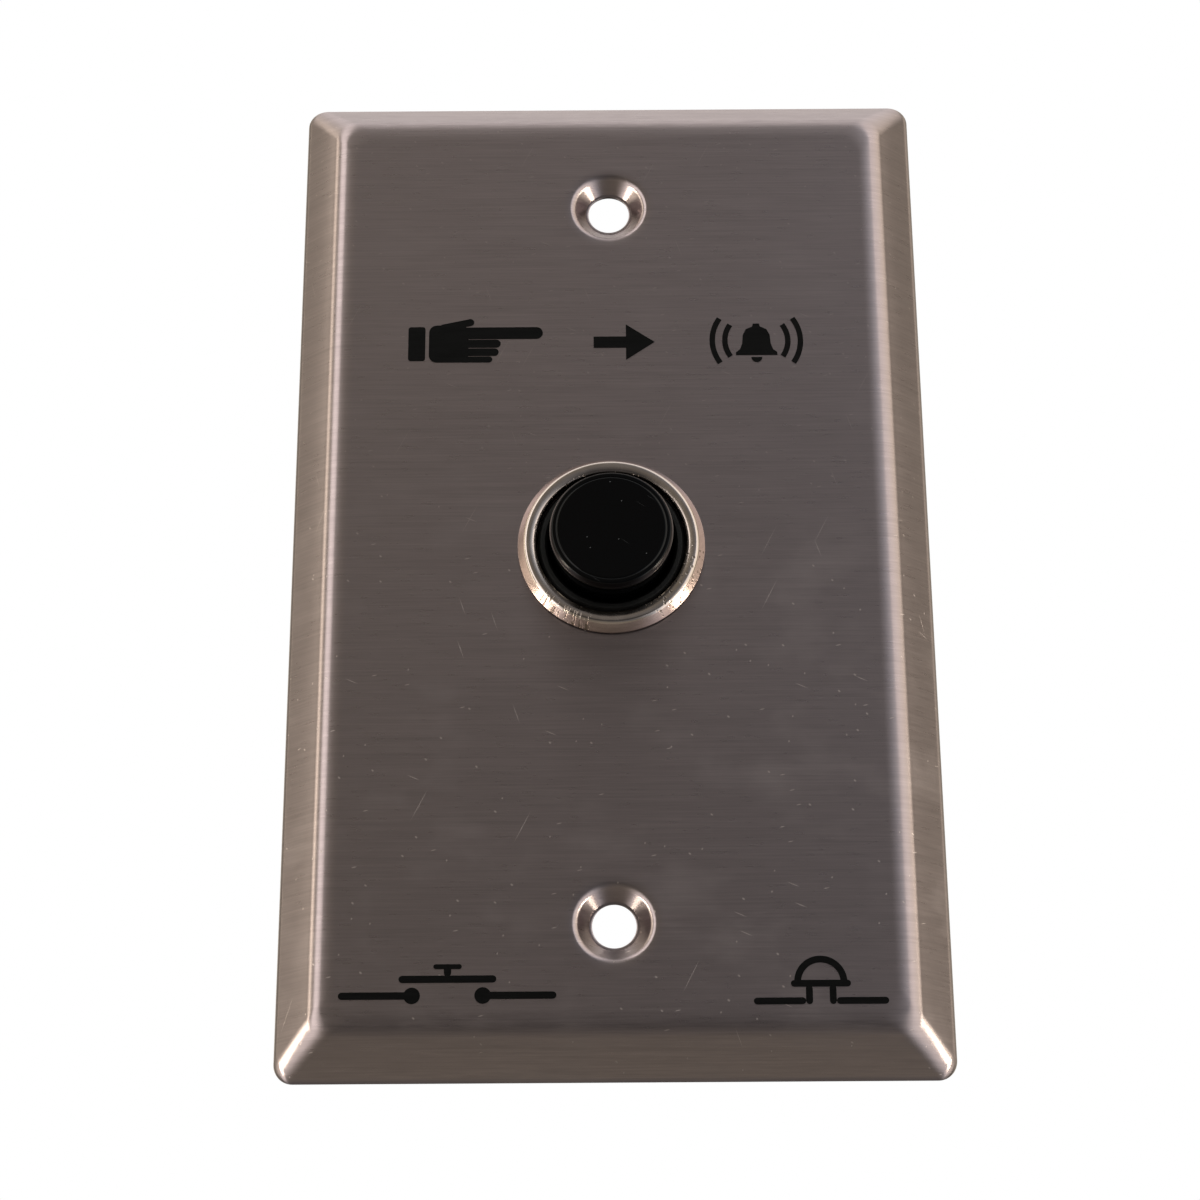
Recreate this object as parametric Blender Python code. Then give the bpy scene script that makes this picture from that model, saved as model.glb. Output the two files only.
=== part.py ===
"""Wall-plate call switch: a pressed stainless plate that carries one momentary push button.

X runs to the right, Y into the wall and Z up. The wall is the plane y = 0, and the button slides along
the Y axis. The plate stands in front of the wall, at negative y, and the switch reaches into the wall box.
"""

import math

import bmesh
import bpy

MM = 0.001

# Gaps
SEAT_GAP = 0.2 * MM  # between a piece and the piece it is clamped or riveted to
RUNNING_GAP = 0.3 * MM  # radial, around a piece that slides
BORE_GAP = 0.25 * MM  # radial, around a screw, a rivet or a thread
COIL_GAP = 0.03 * MM  # between a spring's closed turns
CONTACT_GAP = 0.05 * MM  # left between the contacts at full travel

# Plate
PLATE_WIDTH = 69.85 * MM
PLATE_HEIGHT = 114.3 * MM
PLATE_DEPTH = 5.0 * MM
SHEET = 0.8 * MM
SKIRT = 0.3 * MM  # the short upright at the foot of the bevel
BEVEL_ANGLE = 45  # degrees from the plate's face
LOWER_BEND = 1.4 * MM
UPPER_BEND = 2.7 * MM
BEND_LAND = 0.4 * MM  # flat left past the end of a bend
RIM_CORNER = 2.0 * MM
FACE_CORNER = 3.2 * MM
SCREW_EDGE_DISTANCE = 15.48 * MM  # from the plate's end to its screw hole
SCREW_HOLE_DIAMETER = 4.6 * MM
SCREW_SEAT_WIDTH = 0.3 * MM  # flat left round the screw hole
DIMPLE_DEPTH = 1.65 * MM
DIMPLE_BEND = 1.0 * MM
DIMPLE_ANGLE = 82  # degrees across the cone

# Button
BUTTON_DIAMETER = 13.2 * MM
BUTTON_HEIGHT = 5.2 * MM  # above the plate's face
BUTTON_LENGTH = 11.0 * MM
BUTTON_TRAVEL = 2.5 * MM
BUTTON_EDGE = 0.7 * MM
BUTTON_WALL = 1.1 * MM
BUTTON_CROWN = 1.6 * MM
BUTTON_FLOOR_CLEARANCE = 0.5 * MM
STEM_SOCKET_WALL = 0.9 * MM
STEM_SOCKET_LENGTH = 5.0 * MM

# Neck, with the nuts on its thread
NECK_WALL = 1.0 * MM
NECK_HEIGHT = 1.2 * MM  # above the plate's face
NECK_CHAMFER = 0.3 * MM
DRESS_NUT_THICKNESS = 1.4 * MM
DRESS_NUT_WALL = 1.95 * MM
DRESS_NUT_EDGE = 0.85 * MM
DRESS_NUT_BREAK = 0.1 * MM
LOCK_WASHER_THICKNESS = 0.7 * MM
LOCK_WASHER_WIDTH = 2.7 * MM
LOCK_WASHER_TOOTH = 1.2 * MM
LOCK_WASHER_TEETH = 12
LOCK_WASHER_TOOTH_TURN = 12  # degrees
REAR_NUT_THICKNESS = 2.6 * MM
REAR_NUT_WALL = 1.6 * MM  # at the middle of a flat
REAR_NUT_CHAMFER = 30  # degrees from the nut's faces
EXPOSED_THREAD = 2.5 * MM

# Plunger
STEM_DIAMETER = 3.6 * MM
STEM_FLANGE_MARGIN = 0.6 * MM  # past the contact spring that stands on it
STEM_FLANGE_THICKNESS = 0.9 * MM
STEM_CHAMFER = 0.3 * MM
STEM_TAIL = 1.0 * MM  # past the clip's groove
CONTACT_SPRING_LENGTH = 2.6 * MM
CONTACT_SPRING_CLEARANCE = 0.5 * MM  # radial, round the stem
CONTACT_SPRING_WIRE = 0.45 * MM
CONTACT_SPRING_TURNS = 3
BRIDGE_THICKNESS = 0.8 * MM
BRIDGE_WIDTH = 7.0 * MM
BRIDGE_CORNER = 1.8 * MM
BRIDGE_END = 2.1 * MM  # from a contact's centre to the bar's end
CLIP_THICKNESS = 0.6 * MM
CLIP_WIDTH = 1.6 * MM  # outside the stem
CLIP_BITE = 0.6 * MM  # depth of the clip's groove
CLIP_MOUTH = 70  # degrees
RETURN_SPRING_CLEARANCE = 0.35 * MM  # radial, inside the button
RETURN_SPRING_WIRE = 0.7 * MM
RETURN_SPRING_TURNS = 7

# Contacts: rivets with a domed silver head
CONTACT_CLEARANCE = 0.5 * MM  # between a contact's head and the clip
CONTACT_HEAD_DIAMETER = 3.0 * MM
CONTACT_HEAD_HEIGHT = 0.6 * MM
CONTACT_DOME = 0.25 * MM
CONTACT_SHANK_DIAMETER = 1.6 * MM
CONTACT_TAIL_DIAMETER = 2.4 * MM
CONTACT_TAIL_THICKNESS = 0.4 * MM
CONTACT_TAIL_CHAMFER = 0.25 * MM

# Housing and terminal base
FLOOR_THICKNESS = 1.5 * MM
CHAMBER_CLEARANCE = 0.9 * MM
HOUSING_WALL = 3.6 * MM
HOUSING_CHAMFER = 0.6 * MM
EAR_DIAMETER = 6.4 * MM
EAR_REACH = 1.2 * MM  # of an ear's centre past the housing's wall
EAR_LENGTH = 7.0 * MM
BASE_THICKNESS = 3.2 * MM
BASE_RECESS_CLEARANCE = 0.5 * MM
BARRIER_THICKNESS = 1.2 * MM
BARRIER_HEIGHT = 2.4 * MM
BARRIER_CLEARANCE = 1.2 * MM  # from its ends to the base screws' heads

# Terminals and screws
TERMINAL_THICKNESS = 0.8 * MM
TERMINAL_WIDTH = 6.8 * MM
TERMINAL_SCREW_OFFSET = 6.2 * MM  # below the contact's centre
TERMINAL_SCREW_DIAMETER = 3.4 * MM
TERMINAL_SCREW_HEAD_DIAMETER = 6.2 * MM
TERMINAL_SCREW_HEAD_HEIGHT = 1.8 * MM
CLAMP_WASHER_SIDE = 6.0 * MM
CLAMP_WASHER_THICKNESS = 0.7 * MM
CLAMP_WASHER_CORNER = 0.8 * MM
BASE_SCREW_DIAMETER = 2.2 * MM
BASE_SCREW_HEAD_DIAMETER = 4.4 * MM
BASE_SCREW_HEAD_HEIGHT = 1.5 * MM
BASE_SCREW_BITE = 6.0 * MM
SCREW_HEAD_EDGE = 0.4 * MM
SCREW_TIP_CHAMFER = 0.5 * MM
SCREW_SLOT_WIDTH = 0.9 * MM
SCREW_SLOT_DEPTH = 0.9 * MM

# Facets
LARGE_STEPS = 32
MEDIUM_STEPS = 24
SMALL_STEPS = 16
BEND_STEPS = 4
WELD = 1e-7

# Radii that follow from the sizes above
BUTTON_RADIUS = BUTTON_DIAMETER / 2
NECK_BORE = BUTTON_RADIUS + RUNNING_GAP
NECK_RADIUS = NECK_BORE + NECK_WALL
NUT_BORE = NECK_RADIUS + BORE_GAP
STEM_RADIUS = STEM_DIAMETER / 2
STEM_BORE = STEM_RADIUS + RUNNING_GAP
CLIP_RADIUS = STEM_RADIUS + CLIP_WIDTH
CONTACT_X = CLIP_RADIUS + CONTACT_CLEARANCE + CONTACT_HEAD_DIAMETER / 2
CONTACT_SPRING_RADIUS = STEM_RADIUS + CONTACT_SPRING_CLEARANCE + CONTACT_SPRING_WIRE / 2
STEM_FLANGE_RADIUS = CONTACT_SPRING_RADIUS + CONTACT_SPRING_WIRE / 2 + STEM_FLANGE_MARGIN
RETURN_SPRING_RADIUS = BUTTON_RADIUS - BUTTON_WALL - RETURN_SPRING_CLEARANCE - RETURN_SPRING_WIRE / 2
BRIDGE_HALF_LENGTH = CONTACT_X + BRIDGE_END
CHAMBER_RADIUS = BRIDGE_HALF_LENGTH + CHAMBER_CLEARANCE
HOUSING_RADIUS = max(CHAMBER_RADIUS, NECK_RADIUS) + HOUSING_WALL
EAR_RADIUS = EAR_DIAMETER / 2
EAR_Z = HOUSING_RADIUS + EAR_REACH
SCREW_HOLE_Z = PLATE_HEIGHT / 2 - SCREW_EDGE_DISTANCE

# The stack along the button's axis, from the plate's face into the wall
FACE_Y = -PLATE_DEPTH
SHEET_BACK_Y = FACE_Y + SHEET
LOCK_WASHER_Y = SHEET_BACK_Y + SEAT_GAP
REAR_NUT_Y = LOCK_WASHER_Y + LOCK_WASHER_THICKNESS + SEAT_GAP
SHOULDER_Y = REAR_NUT_Y + REAR_NUT_THICKNESS + EXPOSED_THREAD
NECK_FRONT_Y = FACE_Y - NECK_HEIGHT
BUTTON_TOP_Y = FACE_Y - BUTTON_HEIGHT
BUTTON_FOOT_Y = BUTTON_TOP_Y + BUTTON_LENGTH
FLOOR_Y = BUTTON_FOOT_Y + BUTTON_TRAVEL + BUTTON_FLOOR_CLEARANCE
STEM_FLANGE_Y = FLOOR_Y + FLOOR_THICKNESS + SEAT_GAP
CONTACT_SPRING_Y = STEM_FLANGE_Y + STEM_FLANGE_THICKNESS + SEAT_GAP
BRIDGE_Y = CONTACT_SPRING_Y + CONTACT_SPRING_LENGTH + SEAT_GAP
CLIP_Y = BRIDGE_Y + BRIDGE_THICKNESS + SEAT_GAP
STEM_END_Y = CLIP_Y + CLIP_THICKNESS + SEAT_GAP + STEM_TAIL
BRIDGE_CONTACT_Y = BRIDGE_Y + BRIDGE_THICKNESS + SEAT_GAP
BRIDGE_CONTACT_TIP_Y = BRIDGE_CONTACT_Y + CONTACT_HEAD_HEIGHT
FIXED_CONTACT_TIP_Y = BRIDGE_CONTACT_TIP_Y + BUTTON_TRAVEL + CONTACT_GAP
BASE_Y = FIXED_CONTACT_TIP_Y + CONTACT_HEAD_HEIGHT + SEAT_GAP
HOUSING_END_Y = BASE_Y - SEAT_GAP
BASE_BACK_Y = BASE_Y + BASE_THICKNESS
TERMINAL_Y = BASE_BACK_Y + SEAT_GAP
TERMINAL_BACK_Y = TERMINAL_Y + TERMINAL_THICKNESS
CLAMP_WASHER_Y = TERMINAL_BACK_Y + SEAT_GAP
TERMINAL_SCREW_SEAT_Y = CLAMP_WASHER_Y + CLAMP_WASHER_THICKNESS + SEAT_GAP
BASE_SCREW_SEAT_Y = BASE_BACK_Y + SEAT_GAP


# Outlines and profiles


def arc(centre, radius, start, end, steps):
    """Points along an arc, from start to end in degrees."""
    turns = [math.radians(start + (end - start) * i / steps) for i in range(steps + 1)]
    return [(centre[0] + radius * math.cos(a), centre[1] + radius * math.sin(a)) for a in turns]


def circle(radius, steps, centre=(0, 0)):
    return arc(centre, radius, 0, 360, steps)[:-1]


def rounded_rectangle(half_width, half_height, radius, steps):
    """A closed (x, z) outline with the same number of points at each corner."""
    points = []
    for quarter, (side, end) in enumerate(((1, 1), (-1, 1), (-1, -1), (1, -1))):
        centre = (side * (half_width - radius), end * (half_height - radius))
        points += arc(centre, radius, 90 * quarter, 90 * quarter + 90, steps)
    return points


def stadium(radius, top, bottom, steps):
    """A closed (x, z) outline with round ends, centred on x = 0."""
    return arc((0, top), radius, 0, 180, steps) + arc((0, bottom), radius, 180, 360, steps)


def eared_outline(radius, ear_radius, ear_z, steps):
    """A circle drawn out to an ear above and an ear below, with straight tangents between them."""
    lean = math.degrees(math.acos((radius - ear_radius) / ear_z))
    side_steps = steps // 2
    return (
        arc((0, 0), radius, lean - 90, 90 - lean, side_steps)
        + arc((0, ear_z), ear_radius, 90 - lean, 90 + lean, side_steps)
        + arc((0, 0), radius, 90 + lean, 270 - lean, side_steps)
        + arc((0, -ear_z), ear_radius, 270 - lean, 270 + lean, side_steps)
    )


def offset_profile(points, distance):
    """The same profile moved sideways by distance, with each corner mitred."""
    normals = []
    for (x0, y0), (x1, y1) in zip(points, points[1:]):
        length = math.hypot(x1 - x0, y1 - y0)
        normals.append(((y0 - y1) / length, (x1 - x0) / length))
    moved = []
    for (x, y), (ax, ay), (bx, by) in zip(points, normals[:1] + normals, normals + normals[-1:]):
        share = distance / (1 + ax * bx + ay * by)
        moved.append((x + (ax + bx) * share, y + (ay + by) * share))
    return moved


def bend_on_to_face(start, radius, angle):
    """From start, (distance, y), a slope, a bend that turns it on to the plate's face, and a short land."""
    turn = math.radians(angle)
    drop = start[1] - FACE_Y - radius * (1 - math.cos(turn))
    end = start[0] + drop / math.tan(turn) + radius * math.sin(turn)
    bend = arc((end, FACE_Y + radius), radius, 270 - angle, 270, BEND_STEPS)
    return [start] + bend + [(end + BEND_LAND, FACE_Y)]


def flange_profile():
    """(inset, y) points of the plate's front skin, from the rim over the bevel to the face."""
    lower = arc((LOWER_BEND, -SKIRT), LOWER_BEND, 180, 270 - BEVEL_ANGLE, BEND_STEPS)
    return [(0, 0)] + lower[:-1] + bend_on_to_face(lower[-1], UPPER_BEND, BEVEL_ANGLE)


def dimple_profile():
    """(radius, y) points of the front skin round a screw hole, from the hole over the seat and the cone."""
    hole = SCREW_HOLE_DIAMETER / 2
    seat_y = FACE_Y + DIMPLE_DEPTH
    cone = bend_on_to_face((hole + SCREW_SEAT_WIDTH, seat_y), DIMPLE_BEND, 90 - DIMPLE_ANGLE / 2)
    return [(hole, seat_y)] + cone


def spring_path(radius, length, wire, turns, steps):
    """Centreline of a compression spring along Y, whose two end turns lie closed."""
    closed = wire + COIL_GAP
    height = length - wire
    pitch = (height - 2 * closed) / (turns - 2)
    points = []
    for i in range(turns * steps + 1):
        turn = i / steps
        opened = min(max(turn - 1, 0), turns - 2)
        y = wire / 2 + closed * (turn - opened) + pitch * opened
        points.append((radius * math.cos(math.tau * turn), y, radius * math.sin(math.tau * turn)))
    return points


# Objects


def clear_scene():
    for obj in list(bpy.data.objects):
        bpy.data.objects.remove(obj)


def finish(name, colour, roughness, metallic):
    material = bpy.data.materials.new(name)
    material.use_nodes = True
    shader = material.node_tree.nodes["Principled BSDF"]
    shader.inputs["Base Color"].default_value = (*colour, 1)
    shader.inputs["Roughness"].default_value = roughness
    shader.inputs["Metallic"].default_value = metallic
    return material


def add(name, data, material, parent=None, location=(0, 0, 0)):
    obj = bpy.data.objects.new(name, data)
    bpy.context.scene.collection.objects.link(obj)
    if material and not data.materials:
        data.materials.append(material)
    obj.parent = parent
    obj.location = location
    return obj


def mesh_of(name, bm):
    """A mesh with its faces pointing out, smooth round its curves and sharp at its edges."""
    bmesh.ops.remove_doubles(bm, verts=bm.verts, dist=WELD)
    bmesh.ops.recalc_face_normals(bm, faces=bm.faces)
    mesh = bpy.data.meshes.new(name)
    bm.to_mesh(mesh)
    bm.free()
    mesh.shade_smooth()
    mesh.set_sharp_from_angle(angle=math.radians(35))
    return mesh


def turned(name, profile, steps, ring=False):
    """A mesh turned about local Y from (radius, y) points, which start and end on the axis or make a ring."""
    bm = bmesh.new()
    points = [bm.verts.new((radius, y, 0)) for radius, y in profile]
    ends = points[1:] + points[:1] if ring else points[1:]
    edges = [bm.edges.new(pair) for pair in zip(points, ends)]
    bmesh.ops.spin(
        bm, geom=points + edges, cent=(0, 0, 0), axis=(0, 1, 0), dvec=(0, 0, 0), angle=math.tau, steps=steps
    )
    return mesh_of(name, bm)


def loop_at(bm, outline, y):
    return [bm.verts.new((x, y, z)) for x, z in outline]


def edges_of(bm, loop):
    pairs = zip(loop, loop[1:] + loop[:1])
    return [bm.edges.get(pair) or bm.edges.new(pair) for pair in pairs]


def skin(bm, loops):
    """Quads between each loop and the next, which have the same number of points."""
    for near, far in zip(loops, loops[1:]):
        for i in range(len(near)):
            bm.faces.new((near[i - 1], near[i], far[i], far[i - 1]))


def prism(name, outline, holes, thickness):
    """A mesh of an (x, z) outline with holes, from y = 0 to y = thickness."""
    bm = bmesh.new()
    edges = []
    for points in [outline, *holes]:
        edges += edges_of(bm, loop_at(bm, points, 0))
    bmesh.ops.triangle_fill(bm, edges=edges, use_beauty=True)
    grown = bmesh.ops.extrude_face_region(bm, geom=bm.faces[:])
    moved = [item for item in grown["geom"] if isinstance(item, bmesh.types.BMVert)]
    bmesh.ops.translate(bm, verts=moved, vec=(0, thickness, 0))
    return mesh_of(name, bm)


def box(name, size_x, size_y, size_z):
    """A mesh of a block centred on the origin."""
    bm = bmesh.new()
    bmesh.ops.create_cube(bm, size=1)
    bmesh.ops.scale(bm, verts=bm.verts, vec=(size_x, size_y, size_z))
    return mesh_of(name, bm)


def combine(obj, operation, mesh, location=(0, 0, 0)):
    """A Boolean with a hidden helper that is placed in the object's own frame."""
    helper = add(mesh.name, mesh, None, obj, location)
    helper.hide_render = True
    helper.display_type = "WIRE"
    modifier = obj.modifiers.new(mesh.name, "BOOLEAN")
    modifier.operation = operation
    modifier.solver = "EXACT"
    modifier.object = helper


def coil(name, path, wire, material, parent, location):
    curve = bpy.data.curves.new(name, "CURVE")
    curve.dimensions = "3D"
    spline = curve.splines.new("POLY")
    spline.points.add(len(path) - 1)
    for point, place in zip(spline.points, path):
        point.co = (*place, 1)
    curve.bevel_depth = wire / 2
    curve.bevel_resolution = 1
    curve.use_fill_caps = True
    return add(name, curve, material, parent, location)


# Plate and nuts


def plate_outline(inset, corner):
    return rounded_rectangle(PLATE_WIDTH / 2 - inset, PLATE_HEIGHT / 2 - inset, corner, BEND_STEPS)


def flange_skins(bm):
    """The front and the back skin of the rim, bevel and bends. Returns their last loops, on the flat."""
    front_profile = flange_profile()
    back_profile = offset_profile(front_profile, SHEET)
    face_inset = front_profile[-1][0]
    front, back = [], []
    for (inset, y), (back_inset, back_y) in zip(front_profile, back_profile):
        corner = RIM_CORNER + (FACE_CORNER - RIM_CORNER) * inset / face_inset
        back_corner = corner + inset - back_inset
        front.append(loop_at(bm, plate_outline(inset, corner), y))
        back.append(loop_at(bm, plate_outline(back_inset, back_corner), back_y))
    skin(bm, [back[0]] + front)
    skin(bm, back)
    return front[-1], back[-1]


def dimple_skins(bm, z):
    """The front and the back skin round a screw hole. Returns their last loops, on the flat."""
    front_profile = dimple_profile()
    back_profile = offset_profile(front_profile, SHEET)
    front = [loop_at(bm, circle(radius, MEDIUM_STEPS, (0, z)), y) for radius, y in front_profile]
    back = [loop_at(bm, circle(radius, MEDIUM_STEPS, (0, z)), y) for radius, y in back_profile]
    skin(bm, [back[0]] + front)
    skin(bm, back)
    return front[-1], back[-1]


def neck_hole_skins(bm):
    """The wall of the hole that the neck passes through. Returns its two loops."""
    loops = [loop_at(bm, circle(NUT_BORE, LARGE_STEPS), y) for y in (FACE_Y, SHEET_BACK_Y)]
    skin(bm, loops)
    return loops


def make_faceplate(material, parent):
    """The pressed sheet: two skins one sheet thickness apart, joined at the rim and at each hole."""
    bm = bmesh.new()
    dimples = [dimple_skins(bm, z) for z in (SCREW_HOLE_Z, -SCREW_HOLE_Z)]
    for side in zip(flange_skins(bm), *dimples, neck_hole_skins(bm)):
        edges = [edge for loop in side for edge in edges_of(bm, loop)]
        bmesh.ops.triangle_fill(bm, edges=edges, use_beauty=True)
    return add("faceplate", mesh_of("faceplate", bm), material, parent)


def make_dress_nut(material, parent):
    """The round nut on the front, flat on top, with a rounded outer edge."""
    outer = NUT_BORE + DRESS_NUT_WALL
    top = -DRESS_NUT_THICKNESS
    edge = arc((outer - DRESS_NUT_EDGE, top + DRESS_NUT_EDGE), DRESS_NUT_EDGE, -90, 0, BEND_STEPS)
    profile = [(NUT_BORE, 0), (NUT_BORE, top + DRESS_NUT_BREAK), (NUT_BORE + DRESS_NUT_BREAK, top)] + edge
    profile.append((outer, 0))
    mesh = turned("dress_nut", profile, LARGE_STEPS, ring=True)
    return add("dress_nut", mesh, material, parent, (0, FACE_Y - SEAT_GAP, 0))


def make_lock_washer(material, parent):
    """An internal-tooth washer: each tooth is a short bar towards the neck."""
    teeth = []
    pitch = 360 / LOCK_WASHER_TEETH
    root = NUT_BORE + LOCK_WASHER_TOOTH
    for i in range(LOCK_WASHER_TEETH):
        start = i * pitch
        teeth += arc((0, 0), NUT_BORE, start, start + LOCK_WASHER_TOOTH_TURN, 1)
        teeth += arc((0, 0), root, start + pitch / 2, start + pitch / 2 + LOCK_WASHER_TOOTH_TURN, 1)
    outline = circle(NUT_BORE + LOCK_WASHER_WIDTH, LARGE_STEPS)
    mesh = prism("lock_washer", outline, [teeth], LOCK_WASHER_THICKNESS)
    return add("lock_washer", mesh, material, parent, (0, LOCK_WASHER_Y, 0))


def make_rear_nut(material, parent):
    """The hexagon nut behind the plate, with its corners turned off at both faces."""
    flat = NUT_BORE + REAR_NUT_WALL
    corner = flat / math.cos(math.radians(30))
    mesh = prism("rear_nut", circle(corner, 6), [circle(NUT_BORE, LARGE_STEPS)], REAR_NUT_THICKNESS)
    nut = add("rear_nut", mesh, material, parent, (0, REAR_NUT_Y, 0))
    slope = math.tan(math.radians(REAR_NUT_CHAMFER))
    reach = corner + BORE_GAP
    drop = (reach - flat) * slope
    past = BORE_GAP * slope
    cone = [(0, -past), (flat - BORE_GAP, -past), (reach, drop)]
    cone += [(radius, REAR_NUT_THICKNESS - y) for radius, y in reversed(cone)]
    combine(nut, "INTERSECT", turned("rear_nut_blank", cone, LARGE_STEPS))
    return nut


# Switch body


def make_housing(material, parent):
    """The moulded body: a threaded neck, a floor that guides the stem, and a chamber for the contacts."""
    neck = NECK_FRONT_Y - SHOULDER_Y
    end = HOUSING_END_Y - SHOULDER_Y
    floor = FLOOR_Y - SHOULDER_Y
    profile = [
        (0, neck),
        (NECK_RADIUS - NECK_CHAMFER, neck),
        (NECK_RADIUS, neck + NECK_CHAMFER),
        (NECK_RADIUS, 0),
        (HOUSING_RADIUS - HOUSING_CHAMFER, 0),
        (HOUSING_RADIUS, HOUSING_CHAMFER),
        (HOUSING_RADIUS, end),
        (0, end),
    ]
    housing = add("switch_housing", turned("switch_housing", profile, LARGE_STEPS), material, parent)
    housing.location = (0, SHOULDER_Y, 0)
    ears = eared_outline(HOUSING_RADIUS, EAR_RADIUS, EAR_Z, SMALL_STEPS)
    combine(housing, "UNION", prism("ear_block", ears, [], EAR_LENGTH), (0, end - EAR_LENGTH, 0))
    past = RUNNING_GAP
    cavity = [
        (0, neck - past),
        (NECK_BORE, neck - past),
        (NECK_BORE, floor),
        (STEM_BORE, floor),
        (STEM_BORE, floor + FLOOR_THICKNESS),
        (CHAMBER_RADIUS, floor + FLOOR_THICKNESS),
        (CHAMBER_RADIUS, end + past),
        (0, end + past),
    ]
    combine(housing, "DIFFERENCE", turned("housing_cavity", cavity, LARGE_STEPS))
    pilot = BASE_SCREW_DIAMETER / 2 + BORE_GAP
    depth = BASE_SCREW_BITE + SEAT_GAP
    drill = [(0, 0), (pilot, 0), (pilot, depth + past), (0, depth + past)]
    for side, z in (("upper", EAR_Z), ("lower", -EAR_Z)):
        mesh = turned(f"{side}_pilot_drill", drill, SMALL_STEPS)
        combine(housing, "DIFFERENCE", mesh, (0, end - depth, z))
    return housing


def make_terminal_base(material, parent):
    """The plate that closes the housing, with a barrier between the two terminals."""
    outline = eared_outline(HOUSING_RADIUS, EAR_RADIUS, EAR_Z, SMALL_STEPS)
    holes = []
    for z in (EAR_Z, -EAR_Z):
        holes.append(circle(BASE_SCREW_DIAMETER / 2 + BORE_GAP, SMALL_STEPS, (0, z)))
    for x in (CONTACT_X, -CONTACT_X):
        holes.append(circle(CONTACT_SHANK_DIAMETER / 2 + BORE_GAP, SMALL_STEPS, (x, 0)))
        screw = (x, -TERMINAL_SCREW_OFFSET)
        holes.append(circle(TERMINAL_SCREW_DIAMETER / 2 + BORE_GAP, SMALL_STEPS, screw))
    base = add("terminal_base", prism("terminal_base", outline, holes, BASE_THICKNESS), material, parent)
    base.location = (0, BASE_Y, 0)
    barrier_root = BASE_THICKNESS / 2
    barrier_length = 2 * (EAR_Z - BASE_SCREW_HEAD_DIAMETER / 2 - BARRIER_CLEARANCE)
    barrier = box("barrier", BARRIER_THICKNESS, BARRIER_HEIGHT + barrier_root, barrier_length)
    combine(base, "UNION", barrier, (0, BASE_THICKNESS + (BARRIER_HEIGHT - barrier_root) / 2, 0))
    stem_reach = STEM_END_Y + BUTTON_TRAVEL - BASE_Y
    depth = max(stem_reach, 0) + BASE_RECESS_CLEARANCE
    recess = [(0, -RUNNING_GAP), (STEM_BORE, -RUNNING_GAP), (STEM_BORE, depth), (0, depth)]
    combine(base, "DIFFERENCE", turned("stem_recess", recess, SMALL_STEPS))
    return base


def make_terminal(name, side, material, parent):
    """A brass plate, riveted at its top and tapped for the wire screw at its lower end."""
    outline = stadium(TERMINAL_WIDTH / 2, 0, -TERMINAL_SCREW_OFFSET, SMALL_STEPS // 2)
    holes = [
        circle(CONTACT_SHANK_DIAMETER / 2 + BORE_GAP, SMALL_STEPS),
        circle(TERMINAL_SCREW_DIAMETER / 2 + BORE_GAP, SMALL_STEPS, (0, -TERMINAL_SCREW_OFFSET)),
    ]
    mesh = prism(name, outline, holes, TERMINAL_THICKNESS)
    return add(name, mesh, material, parent, (side * CONTACT_X, TERMINAL_Y, 0))


def make_clamp_washer(name, side, material, parent):
    """The square washer that the wire is gripped under."""
    half = CLAMP_WASHER_SIDE / 2
    hole = circle(TERMINAL_SCREW_DIAMETER / 2 + BORE_GAP, SMALL_STEPS)
    outline = rounded_rectangle(half, half, CLAMP_WASHER_CORNER, 2)
    mesh = prism(name, outline, [hole], CLAMP_WASHER_THICKNESS)
    return add(name, mesh, material, parent, (side * CONTACT_X, CLAMP_WASHER_Y, -TERMINAL_SCREW_OFFSET))


def make_screw(name, sizes, material, parent, location):
    """A slotted screw along Y, with its head behind its seat and its shank in front of it."""
    head_diameter, head_height, shank_diameter, shank_length = sizes
    head, shank = head_diameter / 2, shank_diameter / 2
    edge = arc((head - SCREW_HEAD_EDGE, head_height - SCREW_HEAD_EDGE), SCREW_HEAD_EDGE, 90, 0, 2)
    tip = -shank_length
    profile = [(0, tip), (shank - SCREW_TIP_CHAMFER, tip), (shank, tip + SCREW_TIP_CHAMFER), (shank, 0)]
    profile += [(head, 0)] + edge[::-1] + [(0, head_height)]
    screw = add(name, turned(name, profile, SMALL_STEPS), material, parent, location)
    slot = box(f"{name}_slot", head_diameter + 2 * SCREW_SLOT_WIDTH, 2 * SCREW_SLOT_DEPTH, SCREW_SLOT_WIDTH)
    combine(screw, "DIFFERENCE", slot, (0, head_height, 0))
    return screw


# Contacts


def make_contact(name, grip, facing, material, parent, location):
    """A silver rivet through a thickness of grip. Its domed head faces along Y, 1, or against it, -1."""
    head, shank, tail = CONTACT_HEAD_DIAMETER / 2, CONTACT_SHANK_DIAMETER / 2, CONTACT_TAIL_DIAMETER / 2
    back = grip + 2 * SEAT_GAP
    profile = [
        (0, CONTACT_HEAD_HEIGHT),
        (head / 2, CONTACT_HEAD_HEIGHT - CONTACT_DOME / 4),
        (head, CONTACT_HEAD_HEIGHT - CONTACT_DOME),
        (head, 0),
        (shank, 0),
        (shank, -back),
        (tail, -back),
        (tail - CONTACT_TAIL_CHAMFER, -back - CONTACT_TAIL_THICKNESS),
        (0, -back - CONTACT_TAIL_THICKNESS),
    ]
    mesh = turned(name, [(radius, facing * y) for radius, y in profile], SMALL_STEPS)
    return add(name, mesh, material, parent, location)


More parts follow.
